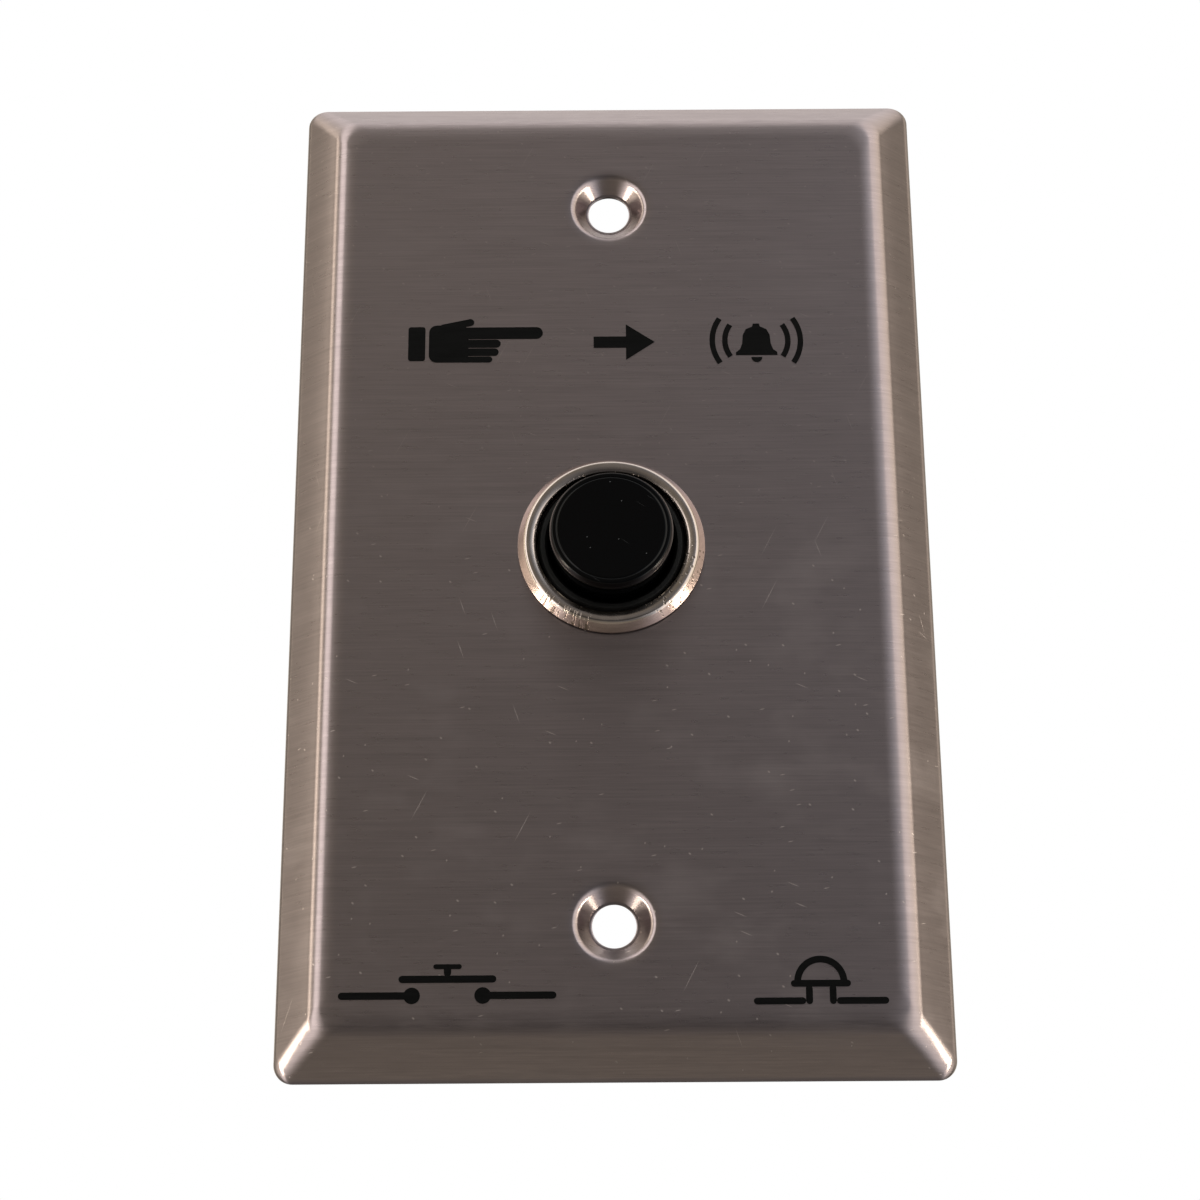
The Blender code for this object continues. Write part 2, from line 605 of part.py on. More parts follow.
def make_bridge(material, parent):
    """The bar that joins the two fixed contacts when the button is pressed."""
    outline = rounded_rectangle(BRIDGE_HALF_LENGTH, BRIDGE_WIDTH / 2, BRIDGE_CORNER, BEND_STEPS)
    holes = [circle(STEM_BORE, SMALL_STEPS)]
    for x in (CONTACT_X, -CONTACT_X):
        holes.append(circle(CONTACT_SHANK_DIAMETER / 2 + BORE_GAP, SMALL_STEPS, (x, 0)))
    mesh = prism("contact_bridge", outline, holes, BRIDGE_THICKNESS)
    return add("contact_bridge", mesh, material, parent, (0, BRIDGE_Y - BUTTON_TOP_Y, 0))


# Plunger


def make_button(material, parent):
    """The cap: a cup with a rounded rim and a socket for the stem."""
    inner = BUTTON_RADIUS - BUTTON_WALL
    socket_bore = STEM_RADIUS + BORE_GAP
    socket = socket_bore + STEM_SOCKET_WALL
    rounded = arc((BUTTON_RADIUS - BUTTON_EDGE, BUTTON_EDGE), BUTTON_EDGE, -90, 0, BEND_STEPS)
    profile = [(0, 0)] + rounded
    profile += [
        (BUTTON_RADIUS, BUTTON_LENGTH),
        (inner, BUTTON_LENGTH),
        (inner, BUTTON_CROWN),
        (socket, BUTTON_CROWN),
        (socket, BUTTON_CROWN + STEM_SOCKET_LENGTH),
        (socket_bore, BUTTON_CROWN + STEM_SOCKET_LENGTH),
        (socket_bore, BUTTON_CROWN),
        (0, BUTTON_CROWN),
    ]
    return add("button_cap", turned("button_cap", profile, LARGE_STEPS), material, parent)


def make_stem(material, parent):
    """The stem, with the flange that stops under the floor and the groove that holds the clip."""
    top = BUTTON_TOP_Y + BUTTON_CROWN + SEAT_GAP
    flange = STEM_FLANGE_Y - top
    groove = CLIP_Y - SEAT_GAP - top
    groove_end = CLIP_Y + CLIP_THICKNESS + SEAT_GAP - top
    end = STEM_END_Y - top
    core = STEM_RADIUS - CLIP_BITE
    profile = [
        (0, 0),
        (STEM_RADIUS - STEM_CHAMFER, 0),
        (STEM_RADIUS, STEM_CHAMFER),
        (STEM_RADIUS, flange),
        (STEM_FLANGE_RADIUS, flange),
        (STEM_FLANGE_RADIUS, flange + STEM_FLANGE_THICKNESS),
        (STEM_RADIUS, flange + STEM_FLANGE_THICKNESS),
        (STEM_RADIUS, groove),
        (core, groove),
        (core, groove_end),
        (STEM_RADIUS, groove_end),
        (STEM_RADIUS, end - STEM_CHAMFER),
        (STEM_RADIUS - STEM_CHAMFER, end),
        (0, end),
    ]
    mesh = turned("plunger_stem", profile, SMALL_STEPS)
    return add("plunger_stem", mesh, material, parent, (0, top - BUTTON_TOP_Y, 0))


def make_clip(material, parent):
    """The open ring that snaps into the stem's groove."""
    bore = STEM_RADIUS - CLIP_BITE + SEAT_GAP
    half_mouth = CLIP_MOUTH / 2
    outside = arc((0, 0), CLIP_RADIUS, half_mouth - 90, 270 - half_mouth, MEDIUM_STEPS)
    inside = arc((0, 0), bore, 270 - half_mouth, half_mouth - 90, MEDIUM_STEPS)
    mesh = prism("stem_clip", outside + inside, [], CLIP_THICKNESS)
    return add("stem_clip", mesh, material, parent, (0, CLIP_Y - BUTTON_TOP_Y, 0))


def make_springs(material, switch, plunger):
    crown_y = BUTTON_TOP_Y + BUTTON_CROWN + SEAT_GAP
    length = FLOOR_Y - SEAT_GAP - crown_y
    path = spring_path(RETURN_SPRING_RADIUS, length, RETURN_SPRING_WIRE, RETURN_SPRING_TURNS, SMALL_STEPS)
    coil("return_spring", path, RETURN_SPRING_WIRE, material, switch, (0, crown_y, 0))
    sizes = (CONTACT_SPRING_RADIUS, CONTACT_SPRING_LENGTH, CONTACT_SPRING_WIRE, CONTACT_SPRING_TURNS)
    place = (0, CONTACT_SPRING_Y - BUTTON_TOP_Y, 0)
    coil("contact_spring", spring_path(*sizes, SMALL_STEPS), CONTACT_SPRING_WIRE, material, plunger, place)


# Assembly


def empty(name, location=(0, 0, 0)):
    obj = bpy.data.objects.new(name, None)
    bpy.context.scene.collection.objects.link(obj)
    obj.location = location
    return obj


def make_plunger(plunger, plastic, nylon, brass, silver, spring_steel):
    """Everything that moves with the button. The empty stands on the axis, at the button's top."""
    make_button(plastic, plunger)
    make_stem(nylon, plunger)
    make_bridge(brass, plunger)
    make_clip(spring_steel, plunger)
    for name, side in (("left", -1), ("right", 1)):
        place = (side * CONTACT_X, BRIDGE_CONTACT_Y - BUTTON_TOP_Y, 0)
        make_contact(f"bridge_contact_{name}", BRIDGE_THICKNESS, 1, silver, plunger, place)


def make_terminals(switch, brass, silver, steel):
    """Each side of the circuit: a contact inside, a terminal outside and the screw that grips the wire."""
    screw_length = TERMINAL_SCREW_SEAT_Y - BASE_Y
    sizes = (TERMINAL_SCREW_HEAD_DIAMETER, TERMINAL_SCREW_HEAD_HEIGHT, TERMINAL_SCREW_DIAMETER, screw_length)
    grip = BASE_THICKNESS + SEAT_GAP + TERMINAL_THICKNESS
    for name, side in (("left", -1), ("right", 1)):
        place = (side * CONTACT_X, BASE_Y - SEAT_GAP, 0)
        make_contact(f"fixed_contact_{name}", grip, -1, silver, switch, place)
        make_terminal(f"terminal_{name}", side, brass, switch)
        make_clamp_washer(f"clamp_washer_{name}", side, steel, switch)
        place = (side * CONTACT_X, TERMINAL_SCREW_SEAT_Y, -TERMINAL_SCREW_OFFSET)
        make_screw(f"terminal_screw_{name}", sizes, steel, switch, place)


def make_base_screws(switch, steel):
    length = BASE_SCREW_SEAT_Y - HOUSING_END_Y + BASE_SCREW_BITE
    sizes = (BASE_SCREW_HEAD_DIAMETER, BASE_SCREW_HEAD_HEIGHT, BASE_SCREW_DIAMETER, length)
    for name, z in (("upper", EAR_Z), ("lower", -EAR_Z)):
        make_screw(f"base_screw_{name}", sizes, steel, switch, (0, BASE_SCREW_SEAT_Y, z))


def main():
    clear_scene()
    stainless = finish("brushed_stainless", (0.56, 0.53, 0.51), 0.32, 1)
    nickel = finish("nickel_plate", (0.66, 0.61, 0.54), 0.18, 1)
    zinc = finish("zinc_plated_steel", (0.60, 0.61, 0.62), 0.35, 1)
    plastic = finish("black_plastic", (0.01, 0.01, 0.012), 0.15, 0)
    phenolic = finish("black_phenolic", (0.02, 0.018, 0.017), 0.45, 0)
    board = finish("brown_phenolic", (0.09, 0.035, 0.018), 0.5, 0)
    nylon = finish("white_nylon", (0.78, 0.76, 0.70), 0.4, 0)
    brass = finish("brass", (0.72, 0.52, 0.24), 0.3, 1)
    silver = finish("contact_silver", (0.86, 0.85, 0.82), 0.25, 1)
    spring_steel = finish("spring_steel", (0.50, 0.50, 0.51), 0.3, 1)

    plate = empty("plate_frame")
    make_faceplate(stainless, plate)
    make_dress_nut(nickel, plate)
    make_lock_washer(zinc, plate)
    make_rear_nut(nickel, plate)

    switch = empty("switch_frame")
    make_housing(phenolic, switch)
    make_terminal_base(board, switch)
    make_terminals(switch, brass, silver, zinc)
    make_base_screws(switch, zinc)

    plunger = empty("plunger", (0, BUTTON_TOP_Y, 0))
    make_plunger(plunger, plastic, nylon, brass, silver, spring_steel)
    make_springs(spring_steel, switch, plunger)


main()
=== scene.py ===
"""Wall-plate push button: fine meshes and procedural finishes in place of the plain CAD solids.

X runs to the right, Y into the wall and Z up. The plate's back edge lies in the wall plane, y = 0, and the
button slides along Y. Every length is in metres unless its name says otherwise.
"""

import functools
import math

import bmesh
import bpy
from bpy.props import FloatProperty, FloatVectorProperty, PointerProperty
from mathutils import Euler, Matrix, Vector


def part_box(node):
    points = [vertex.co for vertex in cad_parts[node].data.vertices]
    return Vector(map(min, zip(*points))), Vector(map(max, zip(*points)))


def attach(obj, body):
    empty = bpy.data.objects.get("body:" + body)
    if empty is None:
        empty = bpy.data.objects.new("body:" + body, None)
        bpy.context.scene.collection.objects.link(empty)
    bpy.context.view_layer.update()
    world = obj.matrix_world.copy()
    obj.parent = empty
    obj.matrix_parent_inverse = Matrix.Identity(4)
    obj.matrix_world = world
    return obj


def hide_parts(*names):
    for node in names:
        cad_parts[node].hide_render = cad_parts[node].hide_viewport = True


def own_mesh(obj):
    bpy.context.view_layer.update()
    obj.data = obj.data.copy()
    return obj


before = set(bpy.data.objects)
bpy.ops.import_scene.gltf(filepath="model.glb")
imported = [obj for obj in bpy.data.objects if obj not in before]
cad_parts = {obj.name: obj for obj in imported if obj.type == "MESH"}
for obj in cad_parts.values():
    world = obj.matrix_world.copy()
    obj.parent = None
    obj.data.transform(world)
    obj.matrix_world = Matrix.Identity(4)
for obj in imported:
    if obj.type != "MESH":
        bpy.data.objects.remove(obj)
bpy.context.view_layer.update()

bl_info = {
    "name": "Wall Plate Push Button",
    "version": (1, 0, 0),
    "blender": (4, 5, 0),
    "location": "3D View > Sidebar > Push Button",
    "description": "Builds the detailed pieces of a wall-plate push button round its CAD frame",
    "category": "Object",
}

MM = 0.001
WELD = 1e-7
SHARP_ANGLE = math.radians(35)

# Facets
ROUND_STEPS = 192  # round pieces that show from the front
PLAIN_STEPS = 96
SMALL_STEPS = 48
CORNER_STEPS = 16
BEND_STEPS = 14
THREAD_ROWS = 10  # per turn of thread


def span(node, axis):
    """The lowest and the highest coordinate of a CAD node along x, y or z."""
    low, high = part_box(node)
    return getattr(low, axis), getattr(high, axis)


def radius_of(node):
    low, high = span(node, "x")
    return (high - low) / 2


def centre_of(node):
    """The (x, z) middle of a CAD node."""
    return sum(span(node, "x")) / 2, sum(span(node, "z")) / 2


# The plate's face and the pieces' places along the button's axis, from the frame
FACE_Y = span("faceplate", "y")[0]
BUTTON_TOP_Y, BUTTON_FOOT_Y = span("button_cap", "y")
BUTTON_RADIUS = radius_of("button_cap")
NUT_Y = span("rear_nut", "y")
HOUSING_Y = span("switch_housing", "y")
BASE_Y = span("terminal_base", "y")
CONTACT_X = centre_of("terminal_right")[0]
EAR_Z = centre_of("base_screw_upper")[1]

# Sizes that more than one piece needs
NUT_WALL = 1.95 * MM  # from the dress nut's bore to its rim
EAR_RADIUS = 3.2 * MM
WIRE_SCREW_DROP = 6.2 * MM  # from a terminal's rivet down to its screw
RIVET_HOLE, WIRE_SCREW_HOLE, BASE_SCREW_HOLE, STEM_HOLE = 1.05 * MM, 1.95 * MM, 1.35 * MM, 2.1 * MM  # radii
PAST = 0.3 * MM  # how far a cutter passes a face


def linear(hex_colour):
    """A colour from its sRGB hex value to the linear values that shaders read."""
    channels = [int(hex_colour[i : i + 2], 16) / 255 for i in (1, 3, 5)]
    return tuple(c / 12.92 if c <= 0.04045 else ((c + 0.055) / 1.055) ** 2.4 for c in channels)


# Sizes and colours that a user can change


class PlateSettings(bpy.types.PropertyGroup):
    width: FloatProperty(
        name="Width", description="Width over the rim", default=2 * radius_of("faceplate"), unit="LENGTH"
    )
    height: FloatProperty(
        name="Height", description="Height over the rim", default=2 * span("faceplate", "z")[1], unit="LENGTH"
    )
    sheet: FloatProperty(
        name="Sheet", description="Thickness of the steel", default=0.8 * MM, unit="LENGTH"
    )
    skirt: FloatProperty(
        name="Skirt", description="Upright foot of the bevel", default=0.05 * MM, unit="LENGTH"
    )
    lower_bend: FloatProperty(
        name="Lower bend", description="Radius from the skirt to the bevel", default=2.0 * MM, unit="LENGTH"
    )
    upper_bend: FloatProperty(
        name="Upper bend", description="Radius from the bevel to the face", default=2.7 * MM, unit="LENGTH"
    )
    roll_off: FloatProperty(
        name="Roll-off",
        description="Radius that eases the face into its bends",
        default=10 * MM,
        unit="LENGTH",
    )
    bevel: FloatProperty(
        name="Bevel", description="Slope of the bevel", default=math.radians(42.5), subtype="ANGLE"
    )
    crown: FloatProperty(
        name="Bevel crown", description="How far the bevel bulges", default=0.05 * MM, unit="LENGTH"
    )
    rim_corner: FloatProperty(
        name="Rim corner", description="Corner radius at the rim", default=2.0 * MM, unit="LENGTH"
    )
    face_corner: FloatProperty(
        name="Face corner", description="Corner radius of the flat", default=2.6 * MM, unit="LENGTH"
    )
    screw_hole: FloatProperty(
        name="Screw hole", description="Diameter of the screw holes", default=4.6 * MM, unit="LENGTH"
    )
    screw_spacing: FloatProperty(
        name="Screw spacing", description="Between the screw holes", default=83.34 * MM, unit="LENGTH"
    )
    dimple_depth: FloatProperty(
        name="Dimple depth", description="Depth of the screw seats", default=1.65 * MM, unit="LENGTH"
    )


class HardwareSettings(bpy.types.PropertyGroup):
    nut_flank: FloatProperty(
        name="Nut flank",
        description="Width of the dress nut's sloping flank",
        default=0.75 * MM,
        unit="LENGTH",
    )
    thread_pitch: FloatProperty(
        name="Neck thread pitch", description="24 threads to the inch", default=25.4 / 24 * MM, unit="LENGTH"
    )
    cap_edge: FloatProperty(
        name="Cap edge",
        description="Width of the sloping border round the button",
        default=0.75 * MM,
        unit="LENGTH",
    )
    edge_break: FloatProperty(
        name="Edge break", description="Rounding of moulded edges", default=0.15 * MM, unit="LENGTH"
    )
    ink_height: FloatProperty(
        name="Ink height", description="How far the print stands proud", default=0.03 * MM, unit="LENGTH"
    )


class FinishSettings(bpy.types.PropertyGroup):
    steel: FloatVectorProperty(
        name="Steel", description="Stainless plate", default=linear("#BCADAD"), subtype="COLOR"
    )
    nickel: FloatVectorProperty(
        name="Nickel", description="Plated nuts", default=linear("#DDCEC6"), subtype="COLOR"
    )
    cap: FloatVectorProperty(
        name="Cap", description="Button plastic", default=linear("#010102"), subtype="COLOR"
    )
    body: FloatVectorProperty(
        name="Body", description="Housing plastic", default=linear("#040404"), subtype="COLOR"
    )
    board: FloatVectorProperty(
        name="Board", description="Laminate base", default=linear("#5A331F"), subtype="COLOR"
    )
    ink: FloatVectorProperty(
        name="Ink", description="Printed symbols", default=linear("#040404"), subtype="COLOR"
    )
    floor: FloatVectorProperty(
        name="Floor", description="Studio floor", default=linear("#E6E4E0"), subtype="COLOR"
    )


class PushButtonSettings(bpy.types.PropertyGroup):
    plate: PointerProperty(type=PlateSettings, name="Plate", description="Sizes of the plate")
    hardware: PointerProperty(type=HardwareSettings, name="Hardware", description="Sizes of small parts")
    finish: PointerProperty(type=FinishSettings, name="Finish", description="Colours")


# Outlines and profiles


def arc(centre, radius, start, end, steps):
    """Points along an arc, from start to end in degrees."""
    turns = [math.radians(start + (end - start) * i / steps) for i in range(steps + 1)]
    return [(centre[0] + radius * math.cos(a), centre[1] + radius * math.sin(a)) for a in turns]


def circle(radius, steps, centre=(0, 0)):
    return arc(centre, radius, 0, 360, steps)[:-1]


def rectangle(half_width, half_height, centre=(0, 0)):
    x, z = centre
    sides = ((1, 1), (-1, 1), (-1, -1), (1, -1))
    return [(x + side * half_width, z + end * half_height) for side, end in sides]


def rounded_rectangle(half_width, half_height, radius, steps, centre=(0, 0)):
    """A closed (x, z) outline with the same number of points at each corner."""
    points = []
    for quarter, corner in enumerate(rectangle(half_width - radius, half_height - radius, centre)):
        points += arc(corner, radius, 90 * quarter, 90 * quarter + 90, steps)
    return points


def stadium(radius, top, bottom, steps, x=0):
    """A closed (x, z) outline with round ends."""
    return arc((x, top), radius, 0, 180, steps) + arc((x, bottom), radius, 180, 360, steps)


def eared_outline(radius, ear_radius, ear_z, steps):
    """A circle drawn out to an ear above and an ear below, with straight tangents between them."""
    lean = math.degrees(math.acos((radius - ear_radius) / ear_z))
    return (
        arc((0, 0), radius, lean - 90, 90 - lean, steps)
        + arc((0, ear_z), ear_radius, 90 - lean, 90 + lean, steps)
        + arc((0, 0), radius, 90 + lean, 270 - lean, steps)
        + arc((0, -ear_z), ear_radius, 270 - lean, 270 + lean, steps)
    )


def bar(start, end, width, steps=8):
    """The outline of a stroke with round ends."""
    lean = math.degrees(math.atan2(end[1] - start[1], end[0] - start[0]))
    far_end = arc(end, width / 2, lean - 90, lean + 90, steps)
    return far_end + arc(start, width / 2, lean + 90, lean + 270, steps)


def band(centre, radius, width, start, end, steps=16):
    """The outline of a curved stroke with square ends."""
    outside = arc(centre, radius + width / 2, start, end, steps)
    return outside + arc(centre, radius - width / 2, end, start, steps)


def offset_profile(points, distance):
    """The same profile moved sideways by distance, with each corner mitred."""
    normals = []
    for (x0, y0), (x1, y1) in zip(points, points[1:]):
        length = math.hypot(x1 - x0, y1 - y0)
        normals.append(((y0 - y1) / length, (x1 - x0) / length))
    moved = []
    for (x, y), (ax, ay), (bx, by) in zip(points, normals[:1] + normals, normals + normals[-1:]):
        share = distance / (1 + ax * bx + ay * by)
        moved.append((x + (ax + bx) * share, y + (ay + by) * share))
    return moved


def softened(points, radius, steps=4, closed=False):
    """The same profile with its corners rounded, by less where a side is short."""
    soft = []
    for i, corner in enumerate(points):
        here = Vector(corner)
        back, ahead = Vector(points[i - 1]) - here, Vector(points[(i + 1) % len(points)]) - here
        if (not closed and i in (0, len(points) - 1)) or back.angle(ahead) > math.radians(150):
            soft.append(tuple(here))
            continue
        reach = min(radius / math.tan(back.angle(ahead) / 2), 0.45 * back.length, 0.45 * ahead.length)
        start, end = here + back.normalized() * reach, here + ahead.normalized() * reach
        for share in (k / steps for k in range(steps + 1)):
            near, far = start.lerp(here, share), here.lerp(end, share)
            soft.append(tuple(near.lerp(far, share)))
    return soft


def along(points):
    """The distance from each point of a profile to its last point, along the profile."""
    left = [0.0]
    for (x0, y0), (x1, y1) in reversed(list(zip(points, points[1:]))):
        left.append(left[-1] + math.hypot(x1 - x0, y1 - y0))
    return left[::-1]


def spring_path(radius, length, wire, turns, steps, closed_gap=0.03 * MM):
    """Centreline of a compression spring along Y, whose two end turns lie closed."""
    closed = wire + closed_gap
    pitch = (length - wire - 2 * closed) / (turns - 2)
    points = []
    for i in range(turns * steps + 1):
        turn = i / steps
        opened = min(max(turn - 1, 0), turns - 2)
        y = wire / 2 + closed * (turn - opened) + pitch * opened
        points.append((radius * math.cos(math.tau * turn), y, radius * math.sin(math.tau * turn)))
    return points


# Meshes


def add(name, mesh, *finishes, location=(0, 0, 0)):
    """A new object with its materials, in their slots' order."""
    obj = bpy.data.objects.new(name, mesh)
    bpy.context.scene.collection.objects.link(obj)
    obj.location = location
    for finish in finishes:
        mesh.materials.append(finish_named(finish))
    return obj


def mesh_of(name, bm):
    """A mesh with its faces pointing out, smooth round its curves and sharp at its edges."""
    bmesh.ops.recalc_face_normals(bm, faces=bm.faces)
    mesh = bpy.data.meshes.new(name)
    bm.to_mesh(mesh)
    bm.free()
    mesh.shade_smooth()
    mesh.set_sharp_from_angle(angle=SHARP_ANGLE)
    return mesh


def cut_thread(bm, radius, start, end, pitch, depth):
    """A right-hand V thread, cut into the side of that radius and run out at both ends."""
    for vert in bm.verts:
        x, y, z = vert.co
        if abs(math.hypot(x, z) - radius) < WELD * 10 and start < y < end:
            turn = (y / pitch + math.atan2(z, x) / math.tau) % 1
            groove = min(1, 1.25 * (1 - abs(2 * turn - 1))) * min(1, (y - start) / pitch, (end - y) / pitch)
            share = 1 - depth * groove / radius
            vert.co = (x * share, y, z * share)


def turned(name, profile, steps=PLAIN_STEPS, ring=False, thread=None):
    """A mesh turned about local Y from (radius, y) points, which start and end on the axis or make a ring."""
    bm = bmesh.new()
    points = [bm.verts.new((radius, y, 0)) for radius, y in profile]
    ends = points[1:] + points[:1] if ring else points[1:]
    edges = [bm.edges.new(pair) for pair in zip(points, ends)]
    bmesh.ops.spin(
        bm, geom=points + edges, cent=(0, 0, 0), axis=(0, 1, 0), dvec=(0, 0, 0), angle=math.tau, steps=steps
    )
    bmesh.ops.remove_doubles(bm, verts=bm.verts, dist=WELD)
    if thread:
        cut_thread(bm, *thread)
    return mesh_of(name, bm)


def threaded_side(radius, start, end, pitch):
    """Profile points along a side, close enough together to carry a thread."""
    count = math.ceil(abs(end - start) / pitch * THREAD_ROWS)
    return [(radius, start + (end - start) * i / count) for i in range(count + 1)]


def loop_at(bm, outline, y):
    return [bm.verts.new((x, y, z)) for x, z in outline]


def edges_of(bm, loop):
    pairs = zip(loop, loop[1:] + loop[:1])
    return [bm.edges.get(pair) or bm.edges.new(pair) for pair in pairs]


def skin(bm, loops, slot=0):
    """Quads between each loop and the next, which have the same number of points."""
    for near, far in zip(loops, loops[1:]):
        for i in range(len(near)):
            bm.faces.new((near[i - 1], near[i], far[i], far[i - 1])).material_index = slot


def prism_into(bm, outline, holes, start, end):
    """An (x, z) outline with holes, filled at y = start and drawn out to y = end."""
    edges = []
    for points in [outline, *holes]:
        edges += edges_of(bm, loop_at(bm, points, start))
    filled = bmesh.ops.triangle_fill(bm, edges=edges, use_beauty=True)
    faces = [item for item in filled["geom"] if isinstance(item, bmesh.types.BMFace)]
    grown = bmesh.ops.extrude_face_region(bm, geom=faces)
    moved = [item for item in grown["geom"] if isinstance(item, bmesh.types.BMVert)]
    bmesh.ops.translate(bm, verts=moved, vec=(0, end - start, 0))


def prism(name, outline, holes, thickness):
    bm = bmesh.new()
    prism_into(bm, outline, holes, 0, thickness)
    return mesh_of(name, bm)


def round_edges(obj, width, segments=3):
    """Rounds the sharp edges and keeps the flats flat to the light."""
    bevel = obj.modifiers.new("edge_break", "BEVEL")
    bevel.width, bevel.segments = width, segments
    bevel.limit_method, bevel.angle_limit = "ANGLE", SHARP_ANGLE
    bevel.use_clamp_overlap = True
    weighted = obj.modifiers.new("flat_light", "WEIGHTED_NORMAL")
    weighted.keep_sharp = True
    return obj


def bake_modifiers(obj):
    """Puts the object's modifiers into its mesh."""
    bpy.context.view_layer.update()
    depsgraph = bpy.context.evaluated_depsgraph_get()
    final = bpy.data.meshes.new_from_object(obj.evaluated_get(depsgraph), depsgraph=depsgraph)
    obj.modifiers.clear()
    obj.data = final
    return final


def combine(obj, operation, mesh, location=(0, 0, 0)):
    """A Boolean with a helper, which is gone afterwards."""
    helper = add("helper", mesh, location=obj.location + Vector(location))
    modifier = obj.modifiers.new(operation, "BOOLEAN")
    modifier.operation, modifier.solver, modifier.object = operation, "EXACT", helper
    final = bake_modifiers(obj)
    final.shade_smooth()
    final.set_sharp_from_angle(angle=SHARP_ANGLE)
    bpy.data.objects.remove(helper)


def coil(name, path, wire, finish, location):
    """A mesh tube along a spring's path."""
    curve = bpy.data.curves.new(name, "CURVE")
    curve.dimensions = "3D"
    spline = curve.splines.new("POLY")
    spline.points.add(len(path) - 1)
    for point, place in zip(spline.points, path):
        point.co = (*place, 1)
    curve.bevel_depth, curve.bevel_resolution, curve.use_fill_caps = wire / 2, 5, True
    shape = bpy.data.objects.new(name, curve)
    bpy.context.scene.collection.objects.link(shape)
    bpy.context.view_layer.update()
    mesh = bpy.data.meshes.new_from_object(shape.evaluated_get(bpy.context.evaluated_depsgraph_get()))
    bpy.data.objects.remove(shape)
    mesh.shade_smooth()
    mesh.set_sharp_from_angle(angle=SHARP_ANGLE)
    mesh.materials.clear()
    return add(name, mesh, finish, location=location)


def install(piece, body, slot, *nodes):
    """Puts a finished piece on its body, in place of the plain CAD nodes that it stands for."""
    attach(piece, body)
    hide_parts(*nodes)


# Materials


def add_node(tree, kind, inputs=(), out=0, stops=(), **settings):
    """Adds a node with its settings and a ramp's stops. Its inputs, by order or by name, take values or
    links. Returns one of its outputs, or all of them where out is None."""
    made = tree.nodes.new("ShaderNode" + kind)
    for name, value in settings.items():
        setattr(made, name, value)
    for key, value in inputs.items() if isinstance(inputs, dict) else enumerate(inputs):
        socket = made.inputs[key]
        if isinstance(value, bpy.types.NodeSocket):
            tree.links.new(value, socket)
        else:
            socket.default_value = (*value, 1) if socket.type == "RGBA" else value
    for i, (place, colour) in enumerate(stops):
        elements = made.color_ramp.elements
        element = elements[i] if i < 2 else elements.new(place)
        element.position, element.color = place, (*colour, 1)
    return made.outputs if out is None else made.outputs[out]


# For node("Mix", {0: share, 6: low, 7: high}, **COLOURS)
COLOURS = {"out": 2, "data_type": "RGBA"}


def shaded(colour, share):
    """A colour made darker or lighter."""
    return tuple(min(channel * share, 1) for channel in colour)


def mottle(node, source, size_mm, detail=2.0, roughness=0.5, low=0.3, high=0.7):
    """Cloudy patches, or streaks where the sizes differ: from 0 to 1, with their sizes in millimetres."""
    size = tuple(length * MM for length in size_mm)
    place = node("Mapping", {"Vector": source, "Scale": size}, vector_type="TEXTURE")
    patches = node("TexNoise", {"Vector": place, "Scale": 1.0, "Detail": detail, "Roughness": roughness})
    return node("MapRange", (patches, low, high))


def scattered_marks(node, source, length_mm, width_mm, spacing_mm, turn, share):
    """Short straight marks, all at one angle: a share of the cells of a stretched pattern holds one each."""
    stretch = math.sqrt(length_mm / width_mm)
    size = (spacing_mm * stretch * MM, spacing_mm / stretch * MM, 1)
    turned_by = (0, 0, math.radians(-turn))
    place = node("Mapping", {"Vector": source, "Rotation": turned_by, "Scale": size}, vector_type="TEXTURE")
    cells = node("TexVoronoi", {"Vector": place, "Scale": 1.0}, out=None, voronoi_dimensions="2D")
    half = length_mm * MM / size[0] / 2
    mark = node("MapRange", (cells["Distance"], half, 0.4 * half))
    chosen = node("Math", (cells["Color"], share), operation="LESS_THAN")
    return node("Math", (mark, chosen), operation="MULTIPLY")


